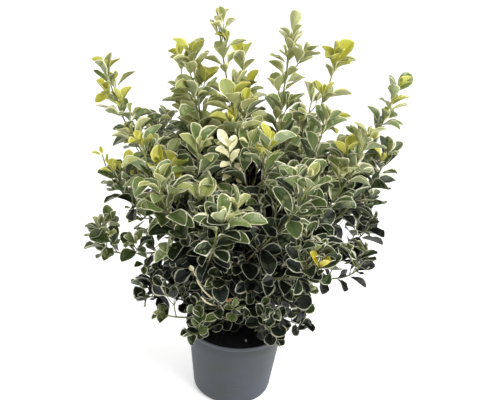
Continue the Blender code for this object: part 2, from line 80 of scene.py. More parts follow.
# The pot and its compost
POT_HEIGHT = 0.200
LIP_RADIUS = 0.130
LIP_HEIGHT = 0.014
WALL_TOP_RADIUS = 0.1235
BASE_RADIUS = 0.101
BASE_ROUNDING = 0.012
POT_WALL = 0.0022
POT_FLOOR = 0.003
DRAIN_HOLES = 6
DRAIN_RADIUS = 0.007
DRAIN_CIRCLE = 0.070
GAP = 0.0003
COMPOST_DOME = 0.004
COMPOST_Z = POT_HEIGHT - 0.014

# The trunk: height and radius of its foot and waist, and the round head above them
TRUNK_FOOT = ((0.000, 0.0215), (0.007, 0.0165), (0.020, 0.0138), (0.035, 0.0145))
HEAD_HEIGHT = 0.050
HEAD_RADIUS = 0.0180
TRUNK_LEAN = np.array((0.06, -0.04, 0.0))

# The boughs, from the trunk's head to the fork where they enter the foliage
BOUGH_BASE_RADIUS = 0.0048
BOUGH_TIP_RADIUS = 0.0038
BOUGH_SPREAD = math.radians(54)
CENTRE_FORK = (0.018, 0.215)
OUTER_FORK = (0.088, 0.165)

# Each bough's leafy limbs, as name: (bearing, reach from the pot's axis, height of its tip)
LIMBS: dict[str, dict[str, tuple[float, float, float]]] = {
    "centre": {
        "spire_tall": (141, 0.127, 0.823),
        "spire_twin": (48, 0.128, 0.790),
        "crest_near": (240, 0.095, 0.690),
    },
    "right": {
        "right_spire": (0, 0.338, 0.723),
        "right_shoulder": (356, 0.335, 0.560),
        "right_side": (8, 0.330, 0.340),
    },
    "right_back": {
        "right_back_spire": (31, 0.232, 0.730),
        "right_back_shoulder": (60, 0.320, 0.610),
        "right_back_side": (44, 0.340, 0.370),
    },
    "back": {
        "back_spire": (99, 0.223, 0.700),
        "back_shoulder": (92, 0.335, 0.560),
        "back_side": (100, 0.320, 0.310),
    },
    "left_back": {
        "left_back_spire": (138, 0.262, 0.700),
        "left_crest": (166, 0.160, 0.745),
        "left_back_side": (140, 0.345, 0.470),
    },
    "left": {
        "left_spire": (171, 0.360, 0.690),
        "left_shoulder": (192, 0.350, 0.520),
        "left_side": (188, 0.366, 0.290),
    },
    "front_left": {
        "front_left_inner": (213, 0.285, 0.590),
        "front_left_shoulder": (237, 0.335, 0.560),
        "front_side": (260, 0.300, 0.480),
    },
    "front_right": {
        "front_crest": (284, 0.205, 0.635),
        "front_right_shoulder": (296, 0.310, 0.590),
        "front_right_side": (306, 0.320, 0.400),
    },
    "right_front": {
        "right_front_crest": (331, 0.200, 0.660),
        "right_front_shoulder": (339, 0.290, 0.630),
        "right_front_side": (333, 0.325, 0.330),
    },
}

# Low limbs that leave the trunk itself, as bearing, reach and height
LOW_RING = (
    (178, 0.270, 0.105),
    (206, 0.225, 0.085),
    (226, 0.180, 0.050),
    (314, 0.176, 0.050),
    (334, 0.205, 0.120),
    (2, 0.205, 0.130),
    (40, 0.220, 0.120),
    (76, 0.225, 0.110),
    (112, 0.225, 0.100),
    (146, 0.245, 0.115),
)
UPPER_RING = (
    (22.5, 0.205, 0.255),
    (67.5, 0.215, 0.265),
    (112.5, 0.210, 0.245),
    (157.5, 0.225, 0.270),
    (202.5, 0.210, 0.250),
    (247.5, 0.185, 0.235),
    (292.5, 0.180, 0.240),
    (337.5, 0.200, 0.270),
)

LOW_RING_START = 0.018
LOW_RING_RISE = math.radians(32)
UPPER_RING_START = 0.029
UPPER_RING_RISE = math.radians(42)
FORK_OFFSET = 0.0026
FORK_LEAN = 0.12
TUFT = 0.034
LINE_SAMPLES = 48

UP = np.array((0.0, 0.0, 1.0))
REFERENCE = np.array((0.31, 0.17, 0.93))
QUARTER = math.pi / 2
GOLDEN = math.radians(137.5)


def unit(vectors: Floats) -> Floats:
    """Vectors brought to length one along the last axis."""
    return vectors / np.maximum(np.linalg.norm(vectors, axis=-1, keepdims=True), 1e-12)


def at(bearing: float, reach: float, height: float) -> Floats:
    """The point at a bearing and reach from the pot's axis, this far above the compost."""
    angle = math.radians(bearing)
    return np.array((reach * math.cos(angle), reach * math.sin(angle), COMPOST_Z + height))


def linear(shade: Shade) -> tuple[float, float, float, float]:
    """A screen colour of 0 to 255 as the renderer's linear light, by the sRGB curve, with full opacity."""
    parts = [part / 255 for part in shade]
    lit = [p / 12.92 if p <= 0.04045 else ((p + 0.055) / 1.055) ** 2.4 for p in parts]
    return (*lit, 1.0)


def bezier(start: Floats, pull_start: Floats, pull_end: Floats, end: Floats, count: int) -> Floats:
    """Points along the cubic curve of four control points, weighted by the four Bernstein terms."""
    s = np.linspace(0.0, 1.0, count)[:, None]
    return (1 - s) ** 3 * start + 3 * s * (1 - s) ** 2 * pull_start + 3 * s * s * (1 - s) * pull_end + s**3 * end


def rising_path(
    start: Floats, direction: Floats, tip: Floats, count: int, upright: float = 0.62, tuft: float = 0.0
) -> Floats:
    """A limb's line: it sets off along direction, then bends up until it stands nearly upright.

    Args:
        start: Where the limb begins.
        direction: Unit vector that it sets off along.
        tip: Where its foliage ends.
        count: How many points the line has.
        upright: Share of the upward direction in the line's last direction.
        tuft: Length of the tuft of leaves between the line's end and the tip.

    Returns:
        The line's points, one a row.
    """
    outward = unit(np.array((tip[0] - start[0], tip[1] - start[1], 0.0)))
    end_direction = unit(UP * upright + outward * (1 - upright))
    end = tip - end_direction * tuft
    pull = np.linalg.norm(end - start) * 0.36
    return bezier(start, start + direction * pull, end - end_direction * pull, end, count)


def trunk_axis(height: float) -> Floats:
    """The trunk's middle at a height above its foot: it leans with the height's square."""
    return np.array((0.0, 0.0, COMPOST_Z + GAP + height)) + TRUNK_LEAN * height * height / HEAD_HEIGHT


def bough_path(name: str, count: int) -> Floats:
    """A bough's line, from the trunk's head to its fork.

    Args:
        name: The bough's name in LIMBS.
        count: How many points the line has.

    Returns:
        The line's points, one a row.
    """
    order = list(LIMBS).index(name) - 1
    bearing = 360 * order / (len(LIMBS) - 1)
    reach, height = CENTRE_FORK if name == "centre" else OUTER_FORK
    spread = 0.0 if name == "centre" else BOUGH_SPREAD
    flat = at(bearing, 1.0, 0.0) - at(bearing, 0.0, 0.0)
    direction = UP * math.cos(spread) + flat * math.sin(spread)
    start = trunk_axis(HEAD_HEIGHT) + direction * (HEAD_RADIUS + GAP)
    return rising_path(start, direction, at(bearing, reach, height), count, upright=0.72)


def spun(vector: Floats, axis: Floats, angle: float) -> Floats:
    """A vector square to an axis, turned about it: v cos a + (axis x v) sin a."""
    return vector * math.cos(angle) + np.cross(axis, vector) * math.sin(angle)


def limb_paths(bough: str) -> dict[str, Floats]:
    """The lines of a bough's limbs, each from the side of the bough's tip that it grows to.

    Args:
        bough: The bough's name in LIMBS.

    Returns:
        A line of points for each limb's name.
    """
    path = bough_path(bough, 7)
    fork, direction = path[-1], unit(path[-1] - path[-2])
    inward = np.array((-fork[0], -fork[1], 0.0))
    inward = unit(inward - direction * (inward @ direction))
    tips = [at(*place) for place in LIMBS[bough].values()]
    middle = sum(tips) / len(tips)
    offsets = [spun(inward, direction, 2 * math.pi * i / len(tips)) for i in range(len(tips))]
    best = max(
        permutations(offsets),
        key=lambda order: sum(float(offset @ (tip - middle)) for offset, tip in zip(order, tips)),
    )
    lines = {}
    for name, tip, offset in zip(LIMBS[bough], tips, best):
        start = fork + offset * FORK_OFFSET * 0.6 - direction * 0.004
        leaving = unit(direction + offset * FORK_LEAN)
        lines[name] = rising_path(start, leaving, tip, LINE_SAMPLES, upright=0.84, tuft=TUFT)
    return lines


def ring_path(bearing: float, reach: float, height: float, start_height: float, rise: float) -> Floats:
    """A low limb's line, from inside the trunk's bark out over the compost.

    Args:
        bearing: Bearing of its tip.
        reach: Reach of its tip from the pot's axis.
        height: Height of its tip.
        start_height: Height on the trunk that it leaves from.
        rise: Angle above level at which it leaves.

    Returns:
        The line's points, one a row.
    """
    flat = at(bearing, 1.0, 0.0) - at(bearing, 0.0, 0.0)
    direction = flat * math.cos(rise) + UP * math.sin(rise)
    start = trunk_axis(start_height) + flat * 0.010
    return rising_path(start, direction, at(bearing, reach, height), LINE_SAMPLES, upright=0.35, tuft=TUFT)


@dataclass(frozen=True)
class Line:
    """A line through points, measured along its length."""

    points: Floats

    @property
    def marks(self) -> Floats:
        """The length of the line up to each point."""
        steps = np.linalg.norm(np.diff(self.points, axis=0), axis=1)
        return np.concatenate(([0.0], np.cumsum(steps)))

    @property
    def length(self) -> float:
        """The line's whole length."""
        return float(self.marks[-1])

    def places(self, shares: Floats) -> Floats:
        """The points at these shares of the line's length, by straight steps between its points."""
        marks = self.marks
        wanted = np.asarray(shares) * marks[-1]
        return np.stack([np.interp(wanted, marks, self.points[:, axis]) for axis in range(3)], axis=-1)

    def direction(self, share: float) -> Floats:
        """The line's direction about a share of its length."""
        before, after = self.places(np.clip(np.array((share - 0.03, share + 0.03)), 0.0, 1.0))
        return unit(after - before)


def across(direction: Floats, turn: float | Floats) -> Floats:
    """A direction square to a stem: A cos t + B sin t, where A and B are square to the stem and each other.

    Args:
        direction: The stem's unit direction.
        turn: The turn round the stem, or an array of them.

    Returns:
        One unit vector for each turn.
    """
    side = unit(np.cross(direction, REFERENCE))
    other = np.cross(direction, side)
    turns = np.asarray(turn)[..., None]
    return side * np.cos(turns) + other * np.sin(turns)


@dataclass(frozen=True)
class Topology:
    """Faces of a tube with a pole at each end: quads between its rings and triangles round its poles."""

    rings: int
    sides: int

    @property
    def quads(self) -> Whole:
        """Corners of the quads, ring by ring."""
        here = np.arange(self.sides)
        there = (here + 1) % self.sides
        row = 1 + np.arange(self.rings - 1)[:, None] * self.sides
        above = row + self.sides
        return np.stack([row + here, row + there, above + there, above + here], axis=-1).reshape(-1, 4)

    @property
    def tris(self) -> Whole:
        """Corners of the triangles, the first pole's and then the last pole's."""
        here = np.arange(self.sides)
        there = (here + 1) % self.sides
        last = 1 + (self.rings - 1) * self.sides
        pole = np.zeros(self.sides, dtype=np.int64)
        first = np.stack([pole, 1 + there, 1 + here], axis=-1)
        final = np.stack([last + here, last + there, pole + last + self.sides], axis=-1)
        return np.concatenate([first, final])

    @property
    def size(self) -> int:
        """How many points one tube has."""
        return self.rings * self.sides + 2


def tube_points(path: Floats, radii: Floats, sides: int, relief: Floats | None = None) -> Floats:
    """Points of a round tube along a path, with a pole at each end.

    Point (i, j) is p_i + r_i (1 + relief_ij) (A_i cos a_j + B_i sin a_j), where a_j is 2 pi j / sides, and
    A_i and B_i are square to the path's direction and to each other. The poles are the path's ends.

    Args:
        path: The tube's middle line, one point a row.
        radii: The radius at each point.
        sides: How many points each ring has.
        relief: Share that each ring point stands out by, as rings by sides.

    Returns:
        The first pole, the ring points and the last pole, one a row.
    """
    along = unit(np.gradient(path, axis=0))
    middle = unit(along.mean(axis=0))
    axes = np.eye(3)
    apart = axes[int(np.argmin(np.abs(middle)))]
    side = unit(np.cross(along, apart))
    other = np.cross(along, side)
    angles = np.arange(sides) * 2 * math.pi / sides
    spokes = side[:, None, :] * np.cos(angles)[None, :, None] + other[:, None, :] * np.sin(angles)[None, :, None]
    reach = radii[:, None] * (1.0 if relief is None else 1.0 + relief)
    rings = path[:, None, :] + spokes * np.broadcast_to(reach, (len(path), sides))[..., None]
    return np.concatenate([path[:1], rings.reshape(-1, 3), path[-1:]])


def ripples(first: Floats, second: Floats, seed: int, pitch: tuple[int, int], waves: int = 9) -> Floats:
    """A gentle random relief of about -1 to 1: the sum of sines of seeded pitch and phase over root waves.

    Args:
        first: An angle in radians, so that the relief closes on itself.
        second: A place along the other way, in units of its own wave.
        seed: Seed of the draws.
        pitch: Lowest and highest number of waves round the angle.
        waves: How many sines are summed.

    Returns:
        The relief at each place.
    """
    chance = np.random.default_rng(seed)
    total = np.zeros(np.broadcast(first, second).shape)
    for _ in range(waves):
        turns = chance.integers(pitch[0], pitch[1] + 1)
        total += np.sin(turns * first + chance.uniform(-1.0, 1.0) * second + chance.uniform(0, 2 * math.pi))
    return total / math.sqrt(waves)


@dataclass
class Heap:
    """Shells gathered for one joined piece, with a finish number for each face."""

    points: list[Floats] = field(default_factory=list)
    quads: list[Whole] = field(default_factory=list)
    tris: list[Whole] = field(default_factory=list)
    quad_marks: list[Whole] = field(default_factory=list)
    tri_marks: list[Whole] = field(default_factory=list)
    places: list[Floats] = field(default_factory=list)
    count: int = 0

    def add(self, points: Floats, shape: Topology, quad_marks: Whole, tri_marks: Whole, places: Floats) -> None:
        """Adds shells of one topology.

        Args:
            points: Shells by points by three.
            shape: The topology that every shell has.
            quad_marks: Finish number of each shell's quads, as shells by quads.
            tri_marks: Finish number of each shell's triangles, as shells by triangles.
            places: Surface coordinates of one shell's points, as points by two.
        """
        number = len(points)
        starts = (self.count + np.arange(number) * shape.size)[:, None, None]
        self.points.append(points.reshape(-1, 3))
        self.quads.append((shape.quads[None] + starts).reshape(-1, 4))
        self.tris.append((shape.tris[None] + starts).reshape(-1, 3))
        self.quad_marks.append(np.broadcast_to(quad_marks, (number, len(shape.quads))).reshape(-1))
        self.tri_marks.append(np.broadcast_to(tri_marks, (number, len(shape.tris))).reshape(-1))
        self.places.append(np.broadcast_to(places, (number, shape.size, 2)).reshape(-1, 2))
        self.count += number * shape.size

    def piece(self, name: str, finishes: list[bpy.types.Material]) -> bpy.types.Object:
        """Writes the gathered shells into one smooth mesh object.

        Args:
            name: The piece's name.
            finishes: The materials that the finish numbers count in.

        Returns:
            The new object, linked to the scene, at the origin.
        """
        points = np.concatenate(self.points)
        quads, tris = np.concatenate(self.quads), np.concatenate(self.tris)
        corners = np.concatenate([quads.ravel(), tris.ravel()]).astype(np.int32)
        starts = np.concatenate([np.arange(len(quads)) * 4, len(quads) * 4 + np.arange(len(tris)) * 3])
        marks = np.concatenate(self.quad_marks + self.tri_marks).astype(np.int32)
        mesh = bpy.data.meshes.new(name)
        mesh.vertices.add(len(points))
        mesh.vertices.foreach_set("co", points.astype(np.float32).ravel())
        mesh.loops.add(len(corners))
        mesh.loops.foreach_set("vertex_index", corners)
        mesh.polygons.add(len(starts))
        mesh.polygons.foreach_set("loop_start", starts.astype(np.int32))
        used, marks = np.unique(marks, return_inverse=True)
        for number in used:
            mesh.materials.append(finishes[int(number)])
        mesh.polygons.foreach_set("material_index", marks.astype(np.int32))
        mesh.polygons.foreach_set("use_smooth", np.ones(len(starts), dtype=bool))
        mesh.update(calc_edges=True)
        layer = mesh.uv_layers.new(name="surface")
        layer.data.foreach_set("uv", np.concatenate(self.places)[corners].astype(np.float32).ravel())
        mesh.validate()
        made = bpy.data.objects.new(name, mesh)
        bpy.context.scene.collection.objects.link(made)
        return made


def crease(piece: bpy.types.Object, sharp: NDArray[np.bool_]) -> None:
    """Marks an edge sharp where both its points are marked.

    Args:
        piece: A mesh object.
        sharp: One mark for each of its points, as marks by points; an edge needs both its points in one mark.
    """
    mesh = piece.data
    ends = np.empty(len(mesh.edges) * 2, dtype=np.int32)
    mesh.edges.foreach_get("vertices", ends)
    ends = ends.reshape(-1, 2)
    hard = (sharp[:, ends[:, 0]] & sharp[:, ends[:, 1]]).any(axis=0)
    mesh.edges.foreach_set("use_edge_sharp", hard)
    mesh.update()


def carried(piece: bpy.types.Object, slot: str, *nodes: str) -> bpy.types.Object:
    """Lets a piece ride on the root body and stand for its CAD nodes.

    Args:
        piece: The new piece.
        slot: The record's slot that its finish belongs to; not used.
        nodes: The CAD nodes that it replaces.

    Returns:
        The same piece.
    """
    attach(piece, ROOT_BODY)
    if nodes:
        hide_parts(*nodes)
    mesh = piece.data
    LOG.info("%s: %d points, %d faces", piece.name, len(mesh.vertices), len(mesh.polygons))
    return piece


class Nodes:
    """A material's node tree with short calls for what this scene's finishes are made of."""

    def __init__(self, name: str) -> None:
        self.material = bpy.data.materials.new(name)
        self.material.use_nodes = True
        self.tree = self.material.node_tree
        self.shader = self.tree.nodes["Principled BSDF"]

    def new(self, kind: str, **settings: object) -> bpy.types.Node:
        """A new node of a kind, with its own settings."""
        node = self.tree.nodes.new(kind)
        for key, value in settings.items():
            setattr(node, key, value)
        return node

    def link(self, source: bpy.types.NodeSocket, target: bpy.types.NodeSocket) -> None:
        """Links an output to an input."""
        self.tree.links.new(source, target)

    def sum(self, operation: str, *values: object) -> bpy.types.NodeSocket:
        """A Math node's result for values that are sockets or numbers."""
        node = self.new("ShaderNodeMath", operation=operation)
        for socket, value in zip(node.inputs, values):
            if isinstance(value, bpy.types.NodeSocket):
                self.link(value, socket)
            else:
                socket.default_value = value
        return node.outputs[0]

    def noise(
        self, scale: float, detail: float = 3.0, stretch: tuple[float, float, float] = (1, 1, 1)
    ) -> bpy.types.NodeSocket:
        """Noise over Object coordinates, with a stretch along each axis."""
        place = self.new("ShaderNodeTexCoord")
        mapping = self.new("ShaderNodeMapping")
        mapping.inputs["Scale"].default_value = stretch
        noise = self.new("ShaderNodeTexNoise")
        noise.inputs["Scale"].default_value = scale
        noise.inputs["Detail"].default_value = detail
        self.link(place.outputs["Object"], mapping.inputs["Vector"])
        self.link(mapping.outputs["Vector"], noise.inputs["Vector"])
        return noise.outputs["Fac"]

    def ramp(self, value: bpy.types.NodeSocket, *stops: tuple[float, Shade]) -> bpy.types.NodeSocket:
        """Colours read off a ramp of stops, each a place and a shade."""
        node = self.new("ShaderNodeValToRGB")
        elements = node.color_ramp.elements
        while len(elements) < len(stops):
            elements.new(0.5)
        for element, (place, shade) in zip(elements, stops):
            element.position = place
            element.color = linear(shade)
        self.link(value, node.inputs["Fac"])
        return node.outputs["Color"]

    def bump(self, height: bpy.types.NodeSocket, strength: float, distance: float) -> None:
        """Tilts the shading by a height."""
        node = self.new("ShaderNodeBump")
        node.inputs["Strength"].default_value = strength
        node.inputs["Distance"].default_value = distance
        self.link(height, node.inputs["Height"])
        self.link(node.outputs["Normal"], self.shader.inputs["Normal"])


@dataclass(frozen=True)
class LeafFinish:
    """One zone of a leaf: a plain colour under a leathery sheen, with side veins in faint relief."""

    name: str
    shade: Shade
    gloss: float = 0.45
    roughness: float = 0.42
    veins: float = 0.22
    side_veins: float = 8.0
    vein_slant: float = 2.2

    def material(self) -> bpy.types.Material:
        """Builds the finish: veins where the cosine of the place along less the place out from the rib peaks."""
        nodes = Nodes(self.name)
        nodes.shader.inputs["Base Color"].default_value = linear(self.shade)
        nodes.shader.inputs["Roughness"].default_value = self.roughness
        nodes.shader.inputs["Specular IOR Level"].default_value = self.gloss
        surface = nodes.new("ShaderNodeUVMap", uv_map="surface")
        split = nodes.new("ShaderNodeSeparateXYZ")
        nodes.link(surface.outputs["UV"], split.inputs["Vector"])
        out = nodes.sum("ABSOLUTE", nodes.sum("SUBTRACT", split.outputs["Y"], 0.5))
        along = nodes.sum("MULTIPLY", split.outputs["X"], self.side_veins * 2 * math.pi)
        wave = nodes.sum("COSINE", nodes.sum("MULTIPLY_ADD", out, -self.vein_slant * 4 * math.pi, along))
        nodes.bump(wave, self.veins, 0.0006)
        return nodes.material


@dataclass(frozen=True)
class TwigFinish:
    """Young or older twig bark: a plain colour with fine length-wise relief."""

    name: str
    shade: Shade
    roughness: float = 0.65

    def material(self) -> bpy.types.Material:
        """Builds the finish, its relief a noise drawn out along the height."""
        nodes = Nodes(self.name)
        nodes.shader.inputs["Base Color"].default_value = linear(self.shade)
        nodes.shader.inputs["Roughness"].default_value = self.roughness
        nodes.bump(nodes.noise(700.0, 2.0, (1, 1, 0.2)), 0.3, 0.0005)
        return nodes.material


@dataclass(frozen=True)
class BarkFinish:
    """Old bark: grey-brown ridges over darker furrows, with a green cast where it is younger."""

    name: str
    furrow: Shade
    ridge: Shade
    lichen: Shade
    roughness: float = 0.85

    def material(self) -> bpy.types.Material:
        """Builds the finish: two noises, one drawn out along the height, read off a ramp of browns."""
        nodes = Nodes(self.name)
        grain = nodes.noise(260.0, 6.0, (1, 1, 0.22))
        broad = nodes.noise(38.0, 3.0)
        mixed = nodes.sum("MULTIPLY_ADD", grain, 0.7, nodes.sum("MULTIPLY", broad, 0.3))
        colour = nodes.ramp(mixed, (0.36, self.furrow), (0.52, self.ridge), (0.68, self.lichen))
        nodes.link(colour, nodes.shader.inputs["Base Color"])
        nodes.shader.inputs["Roughness"].default_value = self.roughness
        nodes.bump(grain, 0.6, 0.0015)
        return nodes.material


@dataclass(frozen=True)
class PlasticFinish:
    """Matte recycled plastic: blue-grey with cloudy patches, faint scuffs round it, a fine grain, and painted shade in
    a band under the lip.
    """

    name: str
    low: Shade
    high: Shade
    scuff: Shade
    roughness: float = 0.55

    def material(self) -> bpy.types.Material:
        """Builds the finish: clouds of the two greys, with scuffs where a drawn-out noise is highest, and painted
        shade just under the lip.
        """
        nodes = Nodes(self.name)
        clouds = nodes.noise(9.0, 4.0)
        base = nodes.ramp(clouds, (0.35, self.low), (0.66, self.high))
        streaks = nodes.noise(34.0, 5.0, (1.0, 1.0, 7.0))
        worn = nodes.ramp(streaks, (0.60, (0, 0, 0)), (0.78, (150, 150, 150)))
        mix = nodes.new("ShaderNodeMix", data_type="RGBA")
        nodes.link(worn, mix.inputs["Factor"])
        nodes.link(base, mix.inputs["A"])
        mix.inputs["B"].default_value = linear(self.scuff)
        # Painted shade: the colour is darkened by height in a band just under the lip, where the lip's shadow falls on
        # the wall.
        place = nodes.new("ShaderNodeTexCoord")
        split = nodes.new("ShaderNodeSeparateXYZ")
        nodes.link(place.outputs["Object"], split.inputs["Vector"])
        height = nodes.sum("DIVIDE", split.outputs["Z"], POT_HEIGHT)
        lip = 1 - LIP_HEIGHT / POT_HEIGHT
        stops = ((lip - 0.14, 255), (lip - 0.06, 214), (lip - 0.004, 208), (lip + 0.012, 255))
        painted_lip_shade = nodes.ramp(height, *((place_up, (grey, grey, grey)) for place_up, grey in stops))
        lip_shaded_mix = nodes.new("ShaderNodeMix", data_type="RGBA", blend_type="MULTIPLY")
        lip_shaded_mix.inputs["Factor"].default_value = 1.0
        nodes.link(mix.outputs["Result"], lip_shaded_mix.inputs["A"])
        nodes.link(painted_lip_shade, lip_shaded_mix.inputs["B"])
        nodes.link(lip_shaded_mix.outputs["Result"], nodes.shader.inputs["Base Color"])
        grain = nodes.noise(900.0, 2.0)
        rough = nodes.sum("MULTIPLY_ADD", clouds, 0.16, self.roughness - 0.08)
        nodes.link(rough, nodes.shader.inputs["Roughness"])
        nodes.bump(grain, 0.12, 0.0004)
        return nodes.material


@dataclass(frozen=True)
class CompostFinish:
    """Damp peaty compost: near black with brown crumbs."""

    name: str
    damp: Shade
    crumb: Shade
    roughness: float = 0.95

    def material(self) -> bpy.types.Material:
        """Builds the finish: a fine noise read off a ramp from damp to crumb, in strong relief."""
        nodes = Nodes(self.name)
        fine = nodes.noise(420.0, 8.0)
        colour = nodes.ramp(fine, (0.45, self.damp), (0.74, self.crumb))
        nodes.link(colour, nodes.shader.inputs["Base Color"])
        nodes.shader.inputs["Roughness"].default_value = self.roughness
        nodes.shader.inputs["Specular IOR Level"].default_value = 0.2
        nodes.bump(fine, 1.0, 0.003)
        return nodes.material


class Tone(IntEnum):
    """How a leaf is tinted, from the leaves inside the crown darkened by painted shade to the lime tips of the shoots.
    """

    SHADED = 0
    DEEP = 1
    DARK = 2
    MID = 3
    LIGHT = 4
    PALE = 5
    YOUNG = 6
    CREAM = 7
    YELLOWED = 8
    DRY = 9


class Zone(IntEnum):
    """The parts of a leaf that differ in colour."""

    BLADE = 0
    MOTTLE = 1
    MARGIN = 2
    UNDERSIDE = 3


# Each tone's shades, in the order of the zones. SHADED is the leaves' colour darkened by painted shade; DEEP to PALE
# mix own colours with painted shade and painted light.
LEAF_SHADES: dict[Tone, tuple[Shade, Shade, Shade, Shade]] = {
    Tone.SHADED: ((13, 16, 13), (19, 24, 18), (88, 89, 76), (30, 35, 27)),
    Tone.DEEP: ((21, 27, 20), (33, 41, 31), (186, 186, 164), (56, 64, 48)),
    Tone.DARK: ((36, 47, 27), (55, 66, 45), (210, 209, 184), (84, 94, 64)),
    Tone.MID: ((69, 85, 41), (95, 106, 69), (223, 221, 190), (124, 133, 88)),
    Tone.LIGHT: ((108, 124, 68), (137, 148, 106), (229, 226, 188), (147, 156, 114)),
    Tone.PALE: ((148, 155, 90), (166, 170, 118), (228, 224, 172), (168, 171, 116)),
    Tone.YOUNG: ((172, 172, 56), (184, 182, 78), (212, 208, 116), (163, 165, 76)),
    Tone.CREAM: ((244, 237, 192), (246, 241, 204), (248, 244, 212), (238, 230, 184)),
    Tone.YELLOWED: ((198, 182, 44), (206, 192, 70), (214, 204, 110), (190, 176, 70)),
    Tone.DRY: ((138, 96, 52), (156, 116, 70), (176, 146, 104), (140, 108, 74)),
}


class Age(IntEnum):
    """How old a stem is, which sets its bark's colour."""

    OLD = 0
    GREEN = 1
    YOUNG = 2
    DEAD = 3


TWIG_SHADES: dict[Age, Shade] = {
    Age.OLD: (92, 84, 58),
    Age.GREEN: (108, 112, 64),
    Age.YOUNG: (138, 143, 80),
    Age.DEAD: (216, 206, 170),
}


@dataclass(frozen=True)
class LeafShape:
    """A blunt obovate leaf as a thin closed blade: rings round it from its stalk to its tip.

    Each ring runs over the upper face from edge to edge in six strips and back under it in four.
    """

    stations: tuple[float, ...] = (0.10, 0.27, 0.45, 0.64, 0.83, 0.965)
    widths: tuple[float, ...] = (0.06, 0.44, 0.84, 1.00, 0.79, 0.35)
    round_widths: tuple[float, ...] = (0.07, 0.52, 0.90, 1.00, 0.88, 0.48)
    broad_range: tuple[float, float] = (0.27, 0.35)
    crinkle: float = 0.045
    rim_range: tuple[float, float] = (0.30, 0.95)
    thickness: float = 0.00028
    rim_columns: tuple[int, ...] = (0, 6)
    rib_column: int = 3

    @property
    def topology(self) -> Topology:
        """Rings of ten points, one ring at each station."""
        return Topology(len(self.stations), 10)

    def surface(self) -> Floats:
        """Surface coordinates of one leaf's points: the place along it, and across it from 0 to 1."""
        over = np.array((1.0, 0.82, 0.41, 0.0, -0.41, -0.82, -1.0, -0.82, 0.0, 0.82))
        along = np.repeat(np.array(self.stations), len(over))
        out = np.tile(over, len(self.stations)) / 2 + 0.5
        ends = np.array(((0.0, 0.5), (1.0, 0.5)))
        return np.concatenate([ends[:1], np.stack([along, out], axis=-1), ends[1:]])

    def points(self, leaves: "Leaves", chance: np.random.Generator) -> Floats:
        """Every leaf's points at once.

        A point at share s along and t across stands at x = L s (1 - (b s)^2 / 6) along the blade,
        y = L w(s) t to its side and z = L (f w |t|^1.1 - b s^2 / 2 + v w t sin(2 pi (1.3 s + p))) above it,
        where b bends the leaf back, f folds it on its rib and v waves its edge with phase p. The margin
        begins at t = 1 - m / (L w), so that it is about m wide all round. Broad leaves are blunter.

        Args:
            leaves: The placed leaves.
            chance: The generator that the edges and margins are drawn from.

        Returns:
            Points as leaves by points by three.
        """
        number, rings = len(leaves.root), len(self.stations)
        s = np.array(self.stations)[None, :, None]
        slim = leaves.slim[:, None, None]
        blunt = np.interp(slim, self.broad_range, (0.0, 1.0))
        pointed, rounded = (np.array(row)[None, :, None] for row in (self.widths, self.round_widths))
        width = (pointed + (rounded - pointed) * blunt) * slim
        edge = 1.0 + chance.normal(0.0, self.crinkle, (number, rings, 10))
        edge[:, :, [1, 2, 3, 4, 5, 7, 8, 9]] = 1.0
        uneven = np.clip(chance.normal(1.0, 0.30, (number, rings, 2)), 0.35, 1.9)
        margin = leaves.margin[:, None, None] / (leaves.length[:, None, None] * width) * uneven
        rim = np.clip(1.0 - margin, *self.rim_range)
        core = rim * chance.uniform(0.30, 0.72, (number, rings, 2))
        left, right = rim[..., 0], rim[..., 1]
        zero, one = np.zeros_like(left), np.ones_like(left)
        t = np.stack(
            [one, left, core[..., 0], zero, -core[..., 1], -right, -one, -right, zero, left], axis=-1
        )
        layer = np.array((0, 1, 1, 1, 1, 1, 0, -1, -1, -1)) * self.thickness
        length = leaves.length[:, None, None]
        bend, fold = leaves.bend[:, None, None], leaves.fold[:, None, None]
        phase = chance.random((number, 1, 1))
        wave = chance.normal(0.0, 0.16, (number, 1, 1))
        x = length * s * (1 - (bend * s) ** 2 / 6) + 0 * t
        y = length * width * t * edge
        z = fold * width * np.abs(t) ** 1.1 - bend * s**2 / 2
        z = length * (z + wave * width * t * np.sin(2 * math.pi * (1.3 * s + phase))) + layer
        local = np.stack([x, y, z], axis=-1).reshape(number, rings * 10, 3)
        tip_x = leaves.length * (1 - leaves.bend**2 / 6)
        tip = np.stack([tip_x, 0 * tip_x, -leaves.length * leaves.bend / 2], axis=-1)[:, None]
        local = np.concatenate([np.zeros((number, 1, 3)), local, tip], axis=1)
        frame = np.stack([leaves.blade, leaves.side, leaves.face], axis=1)
        return leaves.root[:, None, :] + local @ frame

    def marks(self, leaves: "Leaves", chance: np.random.Generator) -> tuple[Whole, Whole]:
        """The finish number of every face: four times its leaf's tone, plus its zone.

        Args:
            leaves: The placed leaves.
            chance: The generator that the mottled patches are drawn from.

        Returns:
            Marks of the quads and of the triangles, as leaves by faces.
        """
        number, rows = len(leaves.root), len(self.stations) - 1
        blade, mottle, rim, under = Zone.BLADE, Zone.MOTTLE, Zone.MARGIN, Zone.UNDERSIDE
        strips = np.array((rim, blade, blade, blade, blade, rim, rim, under, under, rim))
        zones = np.tile(strips, (number, rows, 1))
        patchy = chance.random((number, rows, 2)) < leaves.mottle[:, None, None]
        zones[:, :, 1] = np.where(patchy[..., 0], mottle, blade)
        zones[:, :, 4] = np.where(patchy[..., 1], mottle, blade)
        quads = zones.reshape(number, -1) + 4 * leaves.tone[:, None]
        ends = np.concatenate([np.full(10, under), np.full(10, rim)])
        return quads, ends[None] + 4 * leaves.tone[:, None]

    def sharp(self, number: int) -> NDArray[np.bool_]:
        """Marks of the points on the rims and ribs of a number of leaves, for their creases."""
        place = np.arange(number * self.topology.size) % self.topology.size
        column = (place - 1) % 10
        pole = (place == 0) | (place == self.topology.size - 1)
        rim = pole | np.isin(column, self.rim_columns)
        rib = pole | (column == self.rib_column)
        return np.stack([rim, rib])


